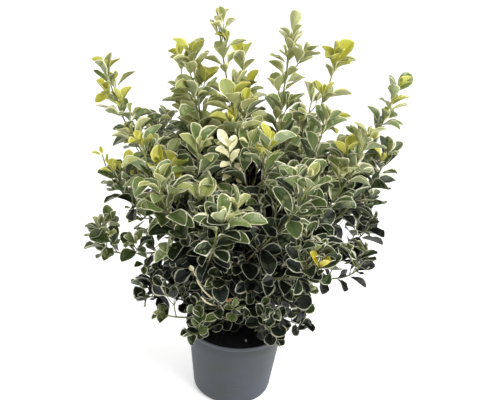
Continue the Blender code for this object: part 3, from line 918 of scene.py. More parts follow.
@dataclass
class Leaves:
    """Placed leaves, as arrays with one row a leaf."""

    root: Floats
    blade: Floats
    side: Floats
    face: Floats
    length: Floats
    slim: Floats
    fold: Floats
    bend: Floats
    margin: Floats
    mottle: Floats
    tone: Whole
    group: Whole

    @classmethod
    def empty(cls, room: int) -> "Leaves":
        """Room for a number of leaves."""
        vectors = [np.zeros((room, 3)) for _ in range(4)]
        numbers = [np.zeros(room) for _ in range(6)]
        return cls(*vectors, *numbers, np.zeros(room, dtype=np.int64), np.zeros(room, dtype=np.int64))

    def chosen(self, which: Whole | NDArray[np.bool_]) -> "Leaves":
        """The leaves that an index or mask picks."""
        return Leaves(**{name: value[which] for name, value in vars(self).items()})


@dataclass(frozen=True)
class Twig:
    """A stem or twig: its line, its radius at both ends, its joined piece and how old it is."""

    line: Line
    first: float
    last: float
    group: int
    age: Age


@dataclass(frozen=True)
class Sport:
    """A listed shoot: an ordinary one, or one with odd leaves, or a dead bare twig."""

    limb: str
    share: float
    span: tuple[float, float, float]
    tone: Tone | None = None
    pairs: int = 0
    size: float = 0.4
    age: Age = Age.GREEN
    stout: float = 1.0


SPORTS = (
    Sport("crest_near", 0.45, (-0.050, -0.095, 0.152), Tone.CREAM, 7, 0.80, Age.YOUNG),
    Sport("front_right_side", 0.88, (0.004, -0.014, 0.010), Tone.YELLOWED, 1, 0.85),
    Sport("right_back_spire", 0.94, (0.002, -0.010, 0.034), Tone.YOUNG, 3, 1.30, Age.YOUNG),
    Sport("left_spire", 0.88, (-0.008, -0.030, 0.012), Tone.YOUNG, 2, 1.05, Age.YOUNG),
    Sport("low_upper_06", 0.80, (0.014, -0.041, 0.065)),
    Sport("low_upper_07", 0.80, (-0.023, -0.046, 0.051)),
    Sport("front_crest", 0.15, (-0.001, -0.057, 0.046)),
    Sport("spire_twin", 0.84, (0.040, -0.004, 0.062)),
    Sport("right_back_spire", 0.70, (0.036, -0.030, 0.020), Tone.YOUNG, 2, 0.80, Age.YOUNG),
    Sport("crest_near", 0.35, (-0.055, 0.010, 0.100)),
    Sport("front_left_shoulder", 0.60, (-0.014, -0.034, -0.028), Tone.LIGHT, 2, 0.95),
    Sport("front_left_inner", 0.35, (0.023, -0.043, 0.260), stout=1.3),
    Sport("front_side", 0.50, (-0.029, -0.016, 0.155), stout=1.1),
    Sport("low_05", 0.60, (0.069, -0.072, 0.025)),
    Sport("low_upper_06", 0.40, (0.007, -0.062, 0.040), Tone.DRY, 1, 0.60),
    Sport("low_upper_06", 0.35, (-0.063, -0.099, 0.078), age=Age.DEAD, stout=1.7),
    Sport("low_upper_06", 0.36, (-0.083, -0.104, 0.148), Tone.CREAM, 1, 0.35, Age.DEAD, 1.7),
    Sport("low_upper_06", 0.20, (0.010, -0.056, 0.048)),
    Sport("low_upper_07", 0.20, (0.003, -0.061, 0.033)),
    Sport("low_upper_07", 0.35, (0.035, -0.045, 0.030)),
    Sport("low_upper_06", 0.30, (-0.025, -0.049, 0.028)),
    Sport("left_side", 0.75, (-0.010, -0.059, 0.079)),
    Sport("left_side", 0.55, (-0.020, -0.055, 0.060)),
    Sport("left_shoulder", 0.50, (-0.020, -0.040, 0.020)),
    Sport("left_shoulder", 0.62, (-0.005, -0.045, 0.015)),
    Sport("low_01", 0.80, (-0.040, -0.047, 0.018)),
    Sport("left_side", 0.48, (-0.016, -0.050, -0.012)),
    Sport("spire_tall", 0.90, (0.004, -0.006, 0.050), Tone.PALE, 2, 1.05, Age.YOUNG),
    Sport("spire_twin", 0.93, (0.000, -0.004, 0.052), Tone.PALE, 2, 1.05, Age.YOUNG),
)


@dataclass(frozen=True)
class Hollow:
    """A gap among the front shoots: a tube without leaves from mouth to floor, and painted shade on the leaves seen
    past it.
    """

    mouth: tuple[float, float, float]
    floor: tuple[float, float, float]
    radius: float
    shade_reach: float = 2.3
    shade_width: float = 1.5

    def places(self, points: Floats) -> tuple[Floats, Floats]:
        """How far along the tube points are, 0 at its mouth and 1 at its floor, and how far off its axis."""
        axis = np.array(self.floor) - np.array(self.mouth)
        offset = points - np.array(self.mouth)
        along = offset @ axis / (axis @ axis)
        return along, np.linalg.norm(offset - along[..., None] * axis, axis=-1)

    def clears(self, points: Floats) -> NDArray[np.bool_]:
        """True where a leaf's middle would stand in the tube."""
        along, off = self.places(points)
        return (along > -0.3) & (along < 1.0) & (off < self.radius)

    def shades(self, point: Floats) -> bool:
        """True where a leaf stands past the tube's floor, is seen through it and gets painted shade."""
        along, off = self.places(point)
        return bool((along > 0.9) & (along < self.shade_reach) & (off < self.radius * self.shade_width))


HOLLOWS = (
    Hollow((0.013, -0.220, 0.713), (0.013, 0.020, 0.605), 0.044),
    Hollow((0.058, -0.240, 0.636), (0.064, -0.040, 0.535), 0.029),
    Hollow((-0.133, -0.200, 0.609), (-0.148, -0.030, 0.523), 0.029),
)


@dataclass(frozen=True)
class Habit:
    """How a limb's foliage differs: lime ends among its top sprays, a tone shift of painted light and shade, fullness
    and leaf size.
    """

    lime: float = 0.0
    shift: float = 0.0
    fullness: float = 1.0
    size: float = 1.0


# A tone shift above nought deals a limb's leaves lighter tones, as painted light; one below nought deals darker tones,
# as painted shade.
HABITS: dict[str, Habit] = {
    "spire_tall": Habit(lime=0.6),
    "spire_twin": Habit(lime=0.8, shift=0.5),
    "front_side": Habit(shift=-0.4, size=1.12),
    "left_back_side": Habit(fullness=1.3),
    "crest_near": Habit(lime=0.9),
    "right_spire": Habit(lime=0.8, shift=-0.4, fullness=1.4),
    "right_shoulder": Habit(lime=0.2, shift=-1.4, fullness=1.6),
    "right_side": Habit(shift=-0.6, fullness=0.75),
    "right_back_spire": Habit(lime=0.9, fullness=0.75),
    "right_back_shoulder": Habit(shift=0.3, fullness=0.5, size=0.9),
    "back_spire": Habit(lime=0.8),
    "back_shoulder": Habit(shift=0.4, fullness=0.7),
    "left_back_spire": Habit(lime=0.6, shift=0.6),
    "left_crest": Habit(lime=0.5, shift=0.3, size=1.3),
    "left_spire": Habit(lime=1.0, fullness=1.5),
    "left_shoulder": Habit(lime=1.0, fullness=0.7, size=0.85),
    "left_side": Habit(shift=1.2, fullness=0.6, size=0.92),
    "front_left_inner": Habit(lime=0.8, size=1.12),
    "front_crest": Habit(lime=0.9, shift=-0.6),
    "front_right_shoulder": Habit(shift=-1.5, size=1.1),
    "right_front_crest": Habit(lime=0.9, shift=-0.5),
    "right_front_shoulder": Habit(lime=0.3, shift=-0.3),
    "front_right_side": Habit(shift=-0.8),
    "right_front_side": Habit(shift=-1.0, fullness=0.9, size=0.85),
    "front_left_shoulder": Habit(shift=-0.2, size=1.15),
    "low_01": Habit(shift=-1.2),
    "low_02": Habit(shift=-0.3, fullness=0.6),
    "low_04": Habit(shift=-0.4, size=1.1),
    "low_05": Habit(shift=-0.5),
    "low_06": Habit(shift=-0.5),
    "low_upper_05": Habit(shift=0.8),
    "low_upper_06": Habit(shift=0.6),
    "low_upper_07": Habit(shift=0.7),
    "low_upper_08": Habit(shift=0.4),
}
LIME_REACH = 0.09


@dataclass
class Crown:
    """The whole crown: it grows stems, twigs, shoots and leaves along the limbs' lines by one seeded rule."""

    seed: int = 11
    stem_radius: float = 0.0029
    stem_tip_radius: float = 0.0017
    twig_radius: float = 0.0017
    twig_tip_radius: float = 0.0011
    twig_spacing: float = 0.048
    twig_length: float = 0.105
    twig_zone: tuple[float, float] = (0.08, 0.90)
    twig_spread: float = math.radians(52)
    twig_lift: float = 0.55
    overlap: tuple[float, float] = (0.030, 0.010)
    shoot_length: float = 0.052
    pair_step: tuple[float, float] = (0.020, 0.030)
    crown_height: float = 0.82
    leaf_clear: float = 0.0042
    longest_leaf: float = 0.078
    tries: int = 10
    room: int = 12000
    shape: LeafShape = LeafShape()

    def __post_init__(self) -> None:
        """Draws the limbs' lines and clears the store."""
        self.chance = np.random.default_rng(self.seed)
        self.groups = [*LIMBS, "low"]
        self.lines: dict[str, tuple[int, Line]] = {}
        for group, bough in enumerate(LIMBS):
            for name, path in limb_paths(bough).items():
                self.lines[f"foliage_{name}"] = (group, Line(path))
        low = len(LIMBS)
        for index, place in enumerate(LOW_RING):
            path = ring_path(*place, LOW_RING_START, LOW_RING_RISE)
            self.lines[f"foliage_low_{index + 1:02d}"] = (low, Line(path))
        for index, place in enumerate(UPPER_RING):
            path = ring_path(*place, UPPER_RING_START, UPPER_RING_RISE)
            self.lines[f"foliage_low_upper_{index + 1:02d}"] = (low, Line(path))
        self.samples = np.concatenate([line.points for _, line in self.lines.values()])
        self.owners = np.repeat(np.arange(len(self.lines)), LINE_SAMPLES)
        self.twigs: list[Twig] = []
        self.leaves = Leaves.empty(self.room)
        self.spots = np.full((self.room, 9, 3), 9.0)
        self.number = 0
        self.cast = 0.0
        low_corner, high_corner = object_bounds()
        self.lowest = np.array(low_corner) + 0.002
        self.highest = np.array(high_corner) - 0.002

    def grow(self) -> None:
        """Grows the odd shoots first, and then every limb's mass in turn."""
        for index, sport in enumerate(SPORTS):
            self.chance = np.random.default_rng((self.seed, 0, index))
            self.add_sport(sport)
        for index, (name, (group, line)) in enumerate(self.lines.items()):
            self.chance = np.random.default_rng((self.seed, 1, index))
            habit = HABITS.get(name.removeprefix("foliage_"), Habit())
            self.grow_mass(index, group, line, habit, low=name.startswith("foliage_low"))
        self.leaves = self.leaves.chosen(np.arange(self.number))
        LOG.info("%d stems and twigs, %d leaves", len(self.twigs), self.number)

    def add_sport(self, sport: Sport) -> None:
        """Grows one odd shoot from its limb, with its leaf pairs spread over its outer two thirds.

        Args:
            sport: The shoot.
        """
        group, line = self.lines[f"foliage_{sport.limb}"]
        start = line.places(np.array((sport.share,)))[0]
        span = np.array(sport.span)
        path = bezier(start, start + span * (0.5, 0.5, 0.2), start + span * (0.9, 0.9, 0.7), start + span, 6)
        first, last = self.twig_radius * sport.stout, self.twig_tip_radius * sport.stout
        twig = Twig(Line(path), first, last, group, sport.age)
        self.twigs.append(twig)
        if sport.tone is None and sport.age is Age.GREEN:
            self.add_leaves(twig, None, HABITS.get(sport.limb, Habit()))
        for rank in range(sport.pairs):
            share = 0.99 - 0.60 * rank / max(1, sport.pairs)
            angle = math.radians(24 + 10 * rank)
            self.add_pair(twig, share, QUARTER * rank, angle, sport.size * (1.0 - 0.07 * rank), rank, sport.tone)

    def grow_mass(self, index: int, group: int, line: Line, habit: Habit, low: bool) -> None:
        """Grows one limb's stem, its side twigs with their shoots, and the leaves of each.

        Args:
            index: The limb's number among all lines.
            group: The joined piece that it belongs to.
            line: The limb's line.
            habit: How its foliage differs from the rule.
            low: True for the low limbs that leave the trunk.
        """
        stem = Twig(line, self.stem_radius, self.stem_tip_radius, group, Age.OLD)
        sprays = [stem]
        sideways = float(line.points[-1][2]) - COMPOST_Z < 0.42
        crowding = 1.7 if low else 1.3 if sideways else 1.0
        count = max(2, round(line.length / self.twig_spacing * crowding))
        turn = self.chance.uniform(0, 2 * math.pi)
        first, last = self.twig_zone
        for number in range(count):
            share = first + (last - first) * (number + 0.5) / count
            height = float(line.places(np.array((share,)))[0, 2]) - COMPOST_Z
            if self.chance.random() > np.interp(height, (0.34, 0.62), (1.0, 0.50)) * habit.fullness:
                continue
            length = self.twig_length * self.chance.uniform(0.6, 1.15) * (1.12 - 0.55 * share)
            length *= 1.0 if low else float(np.interp(height, (0.35, 0.65), (1.0, 0.55)))
            twig = self.side_twig(index, stem, share, turn + GOLDEN * number, length, Age.GREEN)
            if twig is None:
                continue
            sprays.append(twig)
            if twig.line.length < 0.055 or height > 0.42:
                continue
            for side in (0, 1):
                place = self.chance.uniform(0.35, 0.75)
                size = self.shoot_length * self.chance.uniform(0.7, 1.2)
                shoot = self.side_twig(index, twig, place, turn + QUARTER + math.pi * side, size, Age.YOUNG)
                if shoot is not None:
                    sprays.append(shoot)
        self.twigs.extend(sprays)
        top = float(line.points[-1][2])
        for spray in reversed(sprays):
            near_top = top - float(spray.line.points[-1][2]) < LIME_REACH
            limed = near_top and self.chance.random() < habit.lime
            self.add_leaves(spray, Tone.YOUNG if limed else None, habit)

    def side_twig(
        self, index: int, parent: Twig, share: float, turn: float, length: float, age: Age
    ) -> Twig | None:
        """One twig that leaves its parent and bends upwards, kept if it stays in its limb's space.

        Args:
            index: The limb's number among all lines.
            parent: The stem or twig that it leaves.
            share: Where along the parent it leaves.
            turn: The side of the parent that it leaves from.
            length: Its length.
            age: How old its bark is.

        Returns:
            The twig, or None where it would leave the space.
        """
        start = parent.line.places(np.array((share,)))[0]
        direction = parent.line.direction(share)
        outward = across(direction, turn)
        if outward[2] < -0.25:
            outward = -outward
        leaving = unit(direction * math.cos(self.twig_spread) + outward * math.sin(self.twig_spread))
        tip = start + unit(leaving * (1 - self.twig_lift) + UP * self.twig_lift) * length
        path = bezier(start, start + leaving * length * 0.4, tip - UP * length * 0.2, tip, 6)
        apart = np.linalg.norm(path[1:, None, :] - self.samples[None, :, :], axis=2)
        own = self.owners == index
        overlap = float(np.interp(start[2] - COMPOST_Z, (0.20, 0.40), self.overlap))
        crowded = apart[:, ~own].min(axis=1) + overlap < apart[:, own].min(axis=1)
        if crowded.any() or self.in_pot(path[1:], 0.004).any():
            return None
        scale = 1.0 if age is Age.GREEN else 0.75
        return Twig(Line(path), self.twig_radius * scale, self.twig_tip_radius * scale, parent.group, age)

    def in_pot(self, places: Floats, clear: float) -> NDArray[np.bool_]:
        """True where a place is in or too near the pot's wall, the compost, the trunk or the open front.

        Args:
            places: Points, in the last axis.
            clear: How near is too near.

        Returns:
            One answer for each point.
        """
        reach, height = np.hypot(places[..., 0], places[..., 1]), places[..., 2]
        low = height < POT_HEIGHT + clear
        inside = reach < WALL_TOP_RADIUS - clear
        near_wall = low & ~inside & (reach < LIP_RADIUS + clear)
        in_compost = inside & (height < COMPOST_Z + clear)
        in_trunk = (reach < HEAD_RADIUS + clear) & (height < COMPOST_Z + HEAD_HEIGHT + HEAD_RADIUS)
        bearing = np.degrees(np.arctan2(places[..., 1], places[..., 0])) % 360
        front = (bearing > 236) & (bearing < 300) & (reach > 0.060) & (height < COMPOST_Z + 0.030)
        return near_wall | in_compost | in_trunk | front

    def add_leaves(self, spray: Twig, tint: Tone | None, habit: Habit) -> None:
        """Leaf pairs along a stem or twig, each turned a quarter from the last, and a tuft at its tip.

        Args:
            spray: The stem or twig that they grow on.
            tint: Tone of its youngest leaves, or None for the tone of their place.
            habit: How its limb's foliage differs from the rule.
        """
        length = spray.line.length
        tip_height = float(spray.line.points[-1][2]) - COMPOST_Z
        own_stem = spray.age is Age.OLD
        # Painted light and shade: the habit's tone shift deals the limb's leaves lighter tones where positive and
        # darker where negative; the rest is chance.
        self.cast = float(self.chance.normal(0.0, 0.55)) + habit.shift
        share_up = min(1.0, max(0.0, tip_height / self.crown_height))
        step = self.pair_step[0] + (self.pair_step[1] - self.pair_step[0]) * share_up
        step *= 1.0 if own_stem else 0.85
        reach = (0.95 if own_stem else 0.72) * length
        turn = self.chance.uniform(0, 2 * math.pi)
        opening = float(np.interp(tip_height, (0.12, 0.40), (12.0, 0.0)))
        budding = float(np.interp(tip_height, (0.10, 0.40), (0.86, 0.46)))
        spread = float(np.interp(tip_height, (0.35, 0.65), (30.0, 16.0)))
        tuft = 2 if tip_height > 0.16 else 1
        for rank in range(tuft):
            share = 1.0 - (0.001 + 0.005 * rank) / max(length, 0.02)
            angle = math.radians(16 + opening + 18 * rank)
            size = (budding + (0.94 - budding) * 0.42 * rank) * habit.size
            self.add_pair(spray, share, turn + QUARTER * rank, angle, size, rank, tint)
        for number, mark in enumerate(self.pair_marks(reach, step, float(np.interp(tip_height, (0.2, 0.55), (0, 1))))):
            angle = math.radians(29 + opening + spread * min(1.0, mark / 0.10))
            size = (0.86 + 0.16 * min(1.0, number)) * habit.size
            rank = number + tuft
            if self.chance.random() > habit.fullness:
                continue
            self.add_pair(spray, 1.0 - mark / length, turn + QUARTER * rank, angle, size, rank, tint)

    def pair_marks(self, reach: float, step: float, flush: float) -> Floats:
        """Distances of the leaf pairs from the tip.

        Low down the pairs are even. High up they crowd in threes, one a season's flush, over a bare stretch.

        Args:
            reach: The longest distance.
            step: The mean distance between pairs.
            flush: From 0, even, to 1, in threes.

        Returns:
            The distances, from the tip back.
        """
        cycle = np.array((0.52, 0.64, 1.84)) * flush + (1 - flush)
        gaps = step * np.resize(cycle, int(reach / step) + 4)
        marks = 0.009 + np.concatenate(([0.0], np.cumsum(gaps)))
        return marks[marks < max(reach, 0.010)]

    def leaf_length(self, height: float) -> float:
        """A grown leaf's length: short by the pot, longest two thirds of the way up the crown."""
        marks = (0.02, 0.12, 0.26, 0.45, 0.60, 0.82)
        return float(np.interp(height, marks, (0.041, 0.046, 0.056, 0.065, 0.060, 0.046)))

    def add_pair(
        self, spray: Twig, share: float, turn: float, angle: float, size: float, rank: int, tint: Tone | None
    ) -> None:
        """Two opposite leaves, each in the clearest of a few places, or left out where none is clear.

        Args:
            spray: The stem or twig that they grow on.
            share: Where along it.
            turn: The side that the first leaf is on.
            angle: The angle between leaf and stem.
            size: Length against a grown leaf's.
            rank: How many pairs there are between this one and the tip.
            tint: Tone of the spray's youngest leaves, or None.
        """
        root = spray.line.places(np.array((share,)))[0]
        stem = spray.line.direction(share)
        height = float(root[2]) - COMPOST_Z
        grown = self.leaf_length(height + 0.4 * max(0.0, float(np.hypot(root[0], root[1])) - 0.18))
        droop = -0.20 if abs(stem[2]) < 0.5 else -0.55
        for side in (0.0, math.pi):
            draw = self.chance.normal(0.0, 1.0, (self.tries, 3))
            spread = np.linspace(0.15, 0.75, self.tries)
            turns = turn + side + draw[:, 0] * spread
            angles = np.clip(angle + draw[:, 1] * 0.16, 0.12, 1.75)
            length = min(self.longest_leaf, grown * size * self.chance.uniform(0.76, 1.18))
            slim = float(np.interp(height, (0.02, 0.25, 0.5), (0.37, 0.32, 0.265))) * self.chance.uniform(0.84, 1.10)
            folded = float(np.interp(height, (0.12, 0.38), (0.26, 0.70)))
            fold = max(0.05, self.chance.normal(0.92 if rank < 2 else folded, 0.20))
            arch = float(np.interp(height, (0.35, 0.65), (0.34, 0.16)))
            bend = max(-0.3, self.chance.normal(-0.20 if rank < 1 else arch, 0.26))
            outward = across(stem, turns)
            blade = unit(stem * np.cos(angles)[:, None] + outward * np.sin(angles)[:, None])
            away = unit(np.array((root[0], root[1], 0.0)))
            level = 1.0 - abs(float(stem[2]))
            look = stem * (1.0 - 0.7 * level) + UP * (0.5 + 0.7 * level)
            look = look + away * float(np.interp(height, (0.10, 0.40), (0.80, 0.12)))
            face = unit(look - blade * (blade @ look)[:, None])
            flank = np.cross(face, blade)
            roll = (draw[:, 2] * 0.34)[:, None]
            face, flank = face * np.cos(roll) + flank * np.sin(roll), flank * np.cos(roll) - face * np.sin(roll)
            spots = self.sample_spots(root, blade, flank, face, length, slim, fold, bend)
            score = self.clearance(root, spots) - 0.0004 * np.arange(self.tries)
            outside = (spots < self.lowest).any(axis=(1, 2)) | (spots > self.highest).any(axis=(1, 2))
            hollow = np.any([gap.clears(spots[:, 4]) for gap in HOLLOWS], axis=0)
            hollow &= tint is not Tone.CREAM
            score[outside | hollow | (blade[:, 2] < droop) | self.in_pot(spots, 0.003).any(axis=1)] = -1.0
            best = int(score.argmax())
            if score[best] < self.leaf_clear or self.number >= self.room:
                continue
            values = (root, blade[best], flank[best], face[best], length, slim, fold, bend)
            self.keep(values, self.tone(root, rank, tint), spray.group, spots[best])

    @staticmethod
    def sample_spots(
        root: Floats, blade: Floats, flank: Floats, face: Floats, length: float, slim: float, fold: float, bend: float
    ) -> Floats:
        """Nine spots on each candidate leaf: three places along it by three across it, as its shape has them.

        Args:
            root: Where the leaf grows.
            blade: Unit directions along the candidates.
            flank: Unit directions to their side.
            face: Unit directions that they face.
            length: Leaf length.
            slim: Half width against length.
            fold: How far it folds on its rib.
            bend: How far it bends back.

        Returns:
            Spots as candidates by nine by three.
        """
        s = np.repeat(np.array((0.36, 0.64, 0.93)), 3)
        t = np.tile(np.array((-0.8, 0.0, 0.8)), 3)
        x = length * s * (1 - (bend * s) ** 2 / 6)
        y = length * slim * t * np.repeat(np.array((0.8, 1.0, 0.6)), 3)
        z = length * (fold * slim * np.abs(t) - bend * s * s / 2)
        parts = blade[:, None, :] * x[None, :, None] + flank[:, None, :] * y[None, :, None]
        return root + parts + face[:, None, :] * z[None, :, None]

    def clearance(self, root: Floats, spots: Floats) -> Floats:
        """The least distance from each candidate's spots to those of the leaves near it, up to 12 mm."""
        near = np.linalg.norm(self.spots[: self.number, 4] - root, axis=1) < 0.10
        others = self.spots[: self.number][near].reshape(-1, 3)
        if not len(others):
            return np.full(len(spots), 0.012)
        apart = np.linalg.norm(spots[:, :, None, :] - others[None, None, :, :], axis=3)
        return np.minimum(apart.min(axis=(1, 2)), 0.012)

    def tone(self, root: Floats, rank: int, tint: Tone | None) -> Tone:
        """A leaf's tone: darker deep in the crown and past the hollows as painted shade, lighter with height as own
        colour and painted light, lighter towards the tip, and with some chance in it.

        Args:
            root: Where the leaf grows.
            rank: How many pairs there are between this one and the tip.
            tint: Tone of the spray's youngest leaves, or None.

        Returns:
            The tone.
        """
        if tint is not None and (rank < 3 or tint is not Tone.YOUNG):
            return tint
        height = float(root[2]) - COMPOST_Z
        # Painted shade: leaves more than 7 cm inside the crown's outline get darker tones, most of all low down; tones
        # rise with height, partly the upper leaves' own lighter colour and partly painted light.
        outside = np.interp(height, (0.0, 0.10, 0.30, 0.55, 0.72, 0.82), (0.14, 0.20, 0.31, 0.35, 0.34, 0.16))
        depth = float(outside) - float(np.hypot(root[0], root[1]))
        shade = np.interp(depth, (0.07, 0.19), (0.0, 1.6)) * np.interp(height, (0.30, 0.52), (1.0, 0.1))
        light = float(np.interp(height, (0.05, 0.20, 0.38, 0.52, 0.70), (1.6, 2.0, 3.3, 4.6, 5.4)) - shade) + self.cast
        grown = float(np.interp(height, (0.35, 0.60), (-0.4, -0.1)))
        light += self.chance.normal(0.0, 0.3) + (0.8 if rank < 2 else 0.3 if rank < 3 else grown)
        # Painted shade: a leaf seen through a hollow's floor is dealt tones 3.2 darker.
        light -= 3.2 if any(gap.shades(root) for gap in HOLLOWS) else 0.0
        return Tone(int(np.clip(round(light), Tone.SHADED, Tone.PALE)))

    def keep(self, values: tuple, tone: Tone, group: int, spots: Floats) -> None:
        """Stores one leaf.

        Args:
            values: Its root, its three directions, length, half width, fold and bend.
            tone: Its tone.
            group: The joined piece that it belongs to.
            spots: Its nine spots.
        """
        names = ("root", "blade", "side", "face", "length", "slim", "fold", "bend")
        for name, value in zip(names, values):
            getattr(self.leaves, name)[self.number] = value
        wide = 2.0 if self.chance.random() < 0.12 else 1.0
        marks = (0.20, 0.48, 0.62, 0.78)
        usual = float(np.interp(values[0][2] - COMPOST_Z, marks, (0.0017, 0.0021, 0.0016, 0.0012)))
        self.leaves.margin[self.number] = np.clip(self.chance.normal(usual, 0.0004), 0.0009, 0.0030) * wide
        self.leaves.mottle[self.number] = self.chance.choice((0.1, 0.4, 0.8))
        self.leaves.tone[self.number] = tone
        self.leaves.group[self.number] = group
        self.spots[self.number] = spots
        self.number += 1

    def build(self) -> None:
        """Makes the joined pieces of leaves and of twigs, one pair for each bough and one for the low limbs."""
        leaf_finishes = [
            LeafFinish(
                f"leaf_{tone.name.lower()}_{zone.name.lower()}",
                LEAF_SHADES[tone][zone],
                gloss=0.30 if tone <= Tone.DARK else 0.45,
            ).material()
            for tone in Tone
            for zone in Zone
        ]
        twig_finishes = [TwigFinish(f"twig_{age.name.lower()}", TWIG_SHADES[age]).material() for age in Age]
        for group, name in enumerate(self.groups):
            nodes = [node for node, (owner, _) in self.lines.items() if owner == group]
            carried(self.leaf_piece(group, f"leaves_{name}", leaf_finishes), "leaf", *nodes)
            carried(self.twig_piece(group, f"twigs_{name}", twig_finishes), "bark", *nodes)

    def leaf_piece(self, group: int, name: str, finishes: list[bpy.types.Material]) -> bpy.types.Object:
        """One group's leaves as a joined piece.

        Args:
            group: The group's number.
            name: The piece's name.
            finishes: Materials for the finish numbers.

        Returns:
            The piece.
        """
        leaves = self.leaves.chosen(self.leaves.group == group)
        chance = np.random.default_rng(self.seed + 100 + group)
        heap = Heap()
        points = self.shape.points(leaves, chance)
        heap.add(points, self.shape.topology, *self.shape.marks(leaves, chance), self.shape.surface())
        piece = heap.piece(name, finishes)
        crease(piece, self.shape.sharp(len(leaves.root)))
        return piece

    def twig_piece(self, group: int, name: str, finishes: list[bpy.types.Material]) -> bpy.types.Object:
        """One group's stems, twigs and shoots as a joined piece of tapering tubes.

        Args:
            group: The group's number.
            name: The piece's name.
            finishes: Materials for the finish numbers.

        Returns:
            The piece.
        """
        heap = Heap()
        for twig in self.twigs:
            if twig.group != group:
                continue
            own_stem = twig.age is Age.OLD
            rings, sides = (26, 8) if own_stem else (6, 5)
            shape = Topology(rings, sides)
            path = twig.line.places(np.linspace(0.0, 1.0, rings))
            radii = np.linspace(twig.first, twig.last, rings)
            points = tube_points(path, radii, sides)[None]
            rows = np.arange(rings - 1) / (rings - 1)
            ages = np.where(rows < 0.45, Age.OLD, np.where(rows < 0.85, Age.GREEN, Age.YOUNG))
            quads = np.repeat(ages if own_stem else np.full(rings - 1, twig.age), sides)[None]
            ends = np.repeat(np.array((quads[0, 0], quads[0, -1])), sides)[None]
            heap.add(points, shape, quads, ends, np.zeros((shape.size, 2)))
        return heap.piece(name, finishes)


@dataclass(frozen=True)
class Trunk:
    """The short trunk: a flared foot, a waist, and the round head that the boughs spring from."""

    sides: int = 64
    foot_rings: int = 40
    head_rings: int = 16
    relief: float = 0.045

    def build(self, bark: bpy.types.Material) -> bpy.types.Object:
        """Builds the bark over the trunk, its radius read off the foot's table and the head's arc.

        Args:
            bark: Its finish.

        Returns:
            The piece.
        """
        heights = np.linspace(0.0, HEAD_HEIGHT, self.foot_rings)
        foot = (*zip(*TRUNK_FOOT, (HEAD_HEIGHT, HEAD_RADIUS)),)
        low = np.interp(heights, foot[0], foot[1])
        arc = np.linspace(0.0, math.radians(84), self.head_rings + 1)[1:]
        radii = np.concatenate([low, HEAD_RADIUS * np.cos(arc)])
        centres = np.array([trunk_axis(float(height)) for height in heights])
        dome = centres[-1] + np.outer(HEAD_RADIUS * np.sin(arc), UP)
        path = np.concatenate([centres, dome])
        turn = np.arange(self.sides)[None, :] * 2 * math.pi / self.sides
        rise = (path[:, 2] - path[0, 2])[:, None] / 0.004
        furrows = ripples(turn, rise * 0.5, 3, (5, 15))
        relief = self.relief * (furrows - np.abs(furrows).max())
        shape = Topology(len(path), self.sides)
        heap = Heap()
        quads = np.zeros((1, len(shape.quads)), dtype=np.int64)
        tris = np.zeros((1, len(shape.tris)), dtype=np.int64)
        points = tube_points(path, radii, self.sides, relief * 0.6)[None]
        heap.add(points, shape, quads, tris, np.zeros((shape.size, 2)))
        return carried(heap.piece("trunk_bark", [bark]), "bark", "trunk")


@dataclass(frozen=True)
class Bough:
    """One main bough: a tapering limb with bark relief, from inside the trunk's head to its fork."""

    name: str
    seed: int
    sides: int = 20
    rings: int = 44
    relief: float = 0.05
    sunk: float = 0.006

    def build(self, bark: bpy.types.Material) -> bpy.types.Object:
        """Builds the bark over the bough along its line.

        Args:
            bark: Its finish.

        Returns:
            The piece.
        """
        path = bough_path(self.name, LINE_SAMPLES)
        back = path[0] - unit(path[1] - path[0]) * self.sunk
        line = Line(np.concatenate([back[None], path]))
        shares = np.linspace(0.0, 1.0, self.rings)
        points = line.places(shares)
        radii = BOUGH_BASE_RADIUS + (BOUGH_TIP_RADIUS - BOUGH_BASE_RADIUS) * shares
        turn = np.arange(self.sides)[None, :] * 2 * math.pi / self.sides
        relief = self.relief * (ripples(turn, shares[:, None] * 26, self.seed, (2, 7)) - 0.8)
        heap = Heap()
        shape = Topology(self.rings, self.sides)
        quads = np.zeros((1, len(shape.quads)), dtype=np.int64)
        tris = np.zeros((1, len(shape.tris)), dtype=np.int64)
        heap.add(tube_points(points, radii, self.sides, relief)[None], shape, quads, tris, np.zeros((shape.size, 2)))
        return carried(heap.piece(f"bark_{self.name}", [bark]), "bark", f"bough_{self.name}")


def arc(centre: tuple[float, float], radius: float, start: float, end: float, count: int) -> list[tuple[float, float]]:
    """Points of a circle's arc, from one angle in degrees to another."""
    angles = np.radians(np.linspace(start, end, count))
    return [(centre[0] + radius * math.cos(a), centre[1] + radius * math.sin(a)) for a in angles]


def turned_shell(name: str, outline: list[tuple[float, float]], steps: int, finish: bpy.types.Material,
                 sag: Floats | None = None) -> bpy.types.Object:
    """A closed shell turned about Z: point (i, j) is (r_i cos a_j, r_i sin a_j, z_i), with a_j = 2 pi j / steps.

    Args:
        name: The piece's name.
        outline: Radius and height of each ring, from the lower pole outside round to the upper pole.
        steps: How many points each ring has.
        finish: Its material.
        sag: Height added to each ring point, as rings by steps.

    Returns:
        The piece. The first and last outline points are its poles.
    """
    rings = np.array(outline[1:-1])
    turn = np.arange(steps) * 2 * math.pi / steps
    reach, height = rings[:, :1], rings[:, 1:]
    lift = np.zeros((len(rings), steps)) if sag is None else sag
    points = np.stack([reach * np.cos(turn), reach * np.sin(turn), height + lift], axis=-1).reshape(-1, 3)
    first, last = (np.array((0.0, 0.0, outline[end][1])) for end in (0, -1))
    shape = Topology(len(rings), steps)
    heap = Heap()
    quads = np.zeros((1, len(shape.quads)), dtype=np.int64)
    tris = np.zeros((1, len(shape.tris)), dtype=np.int64)
    every = np.concatenate([first[None], points, last[None]])[None]
    heap.add(every, shape, quads, tris, np.zeros((shape.size, 2)))
    return heap.piece(name, [finish])


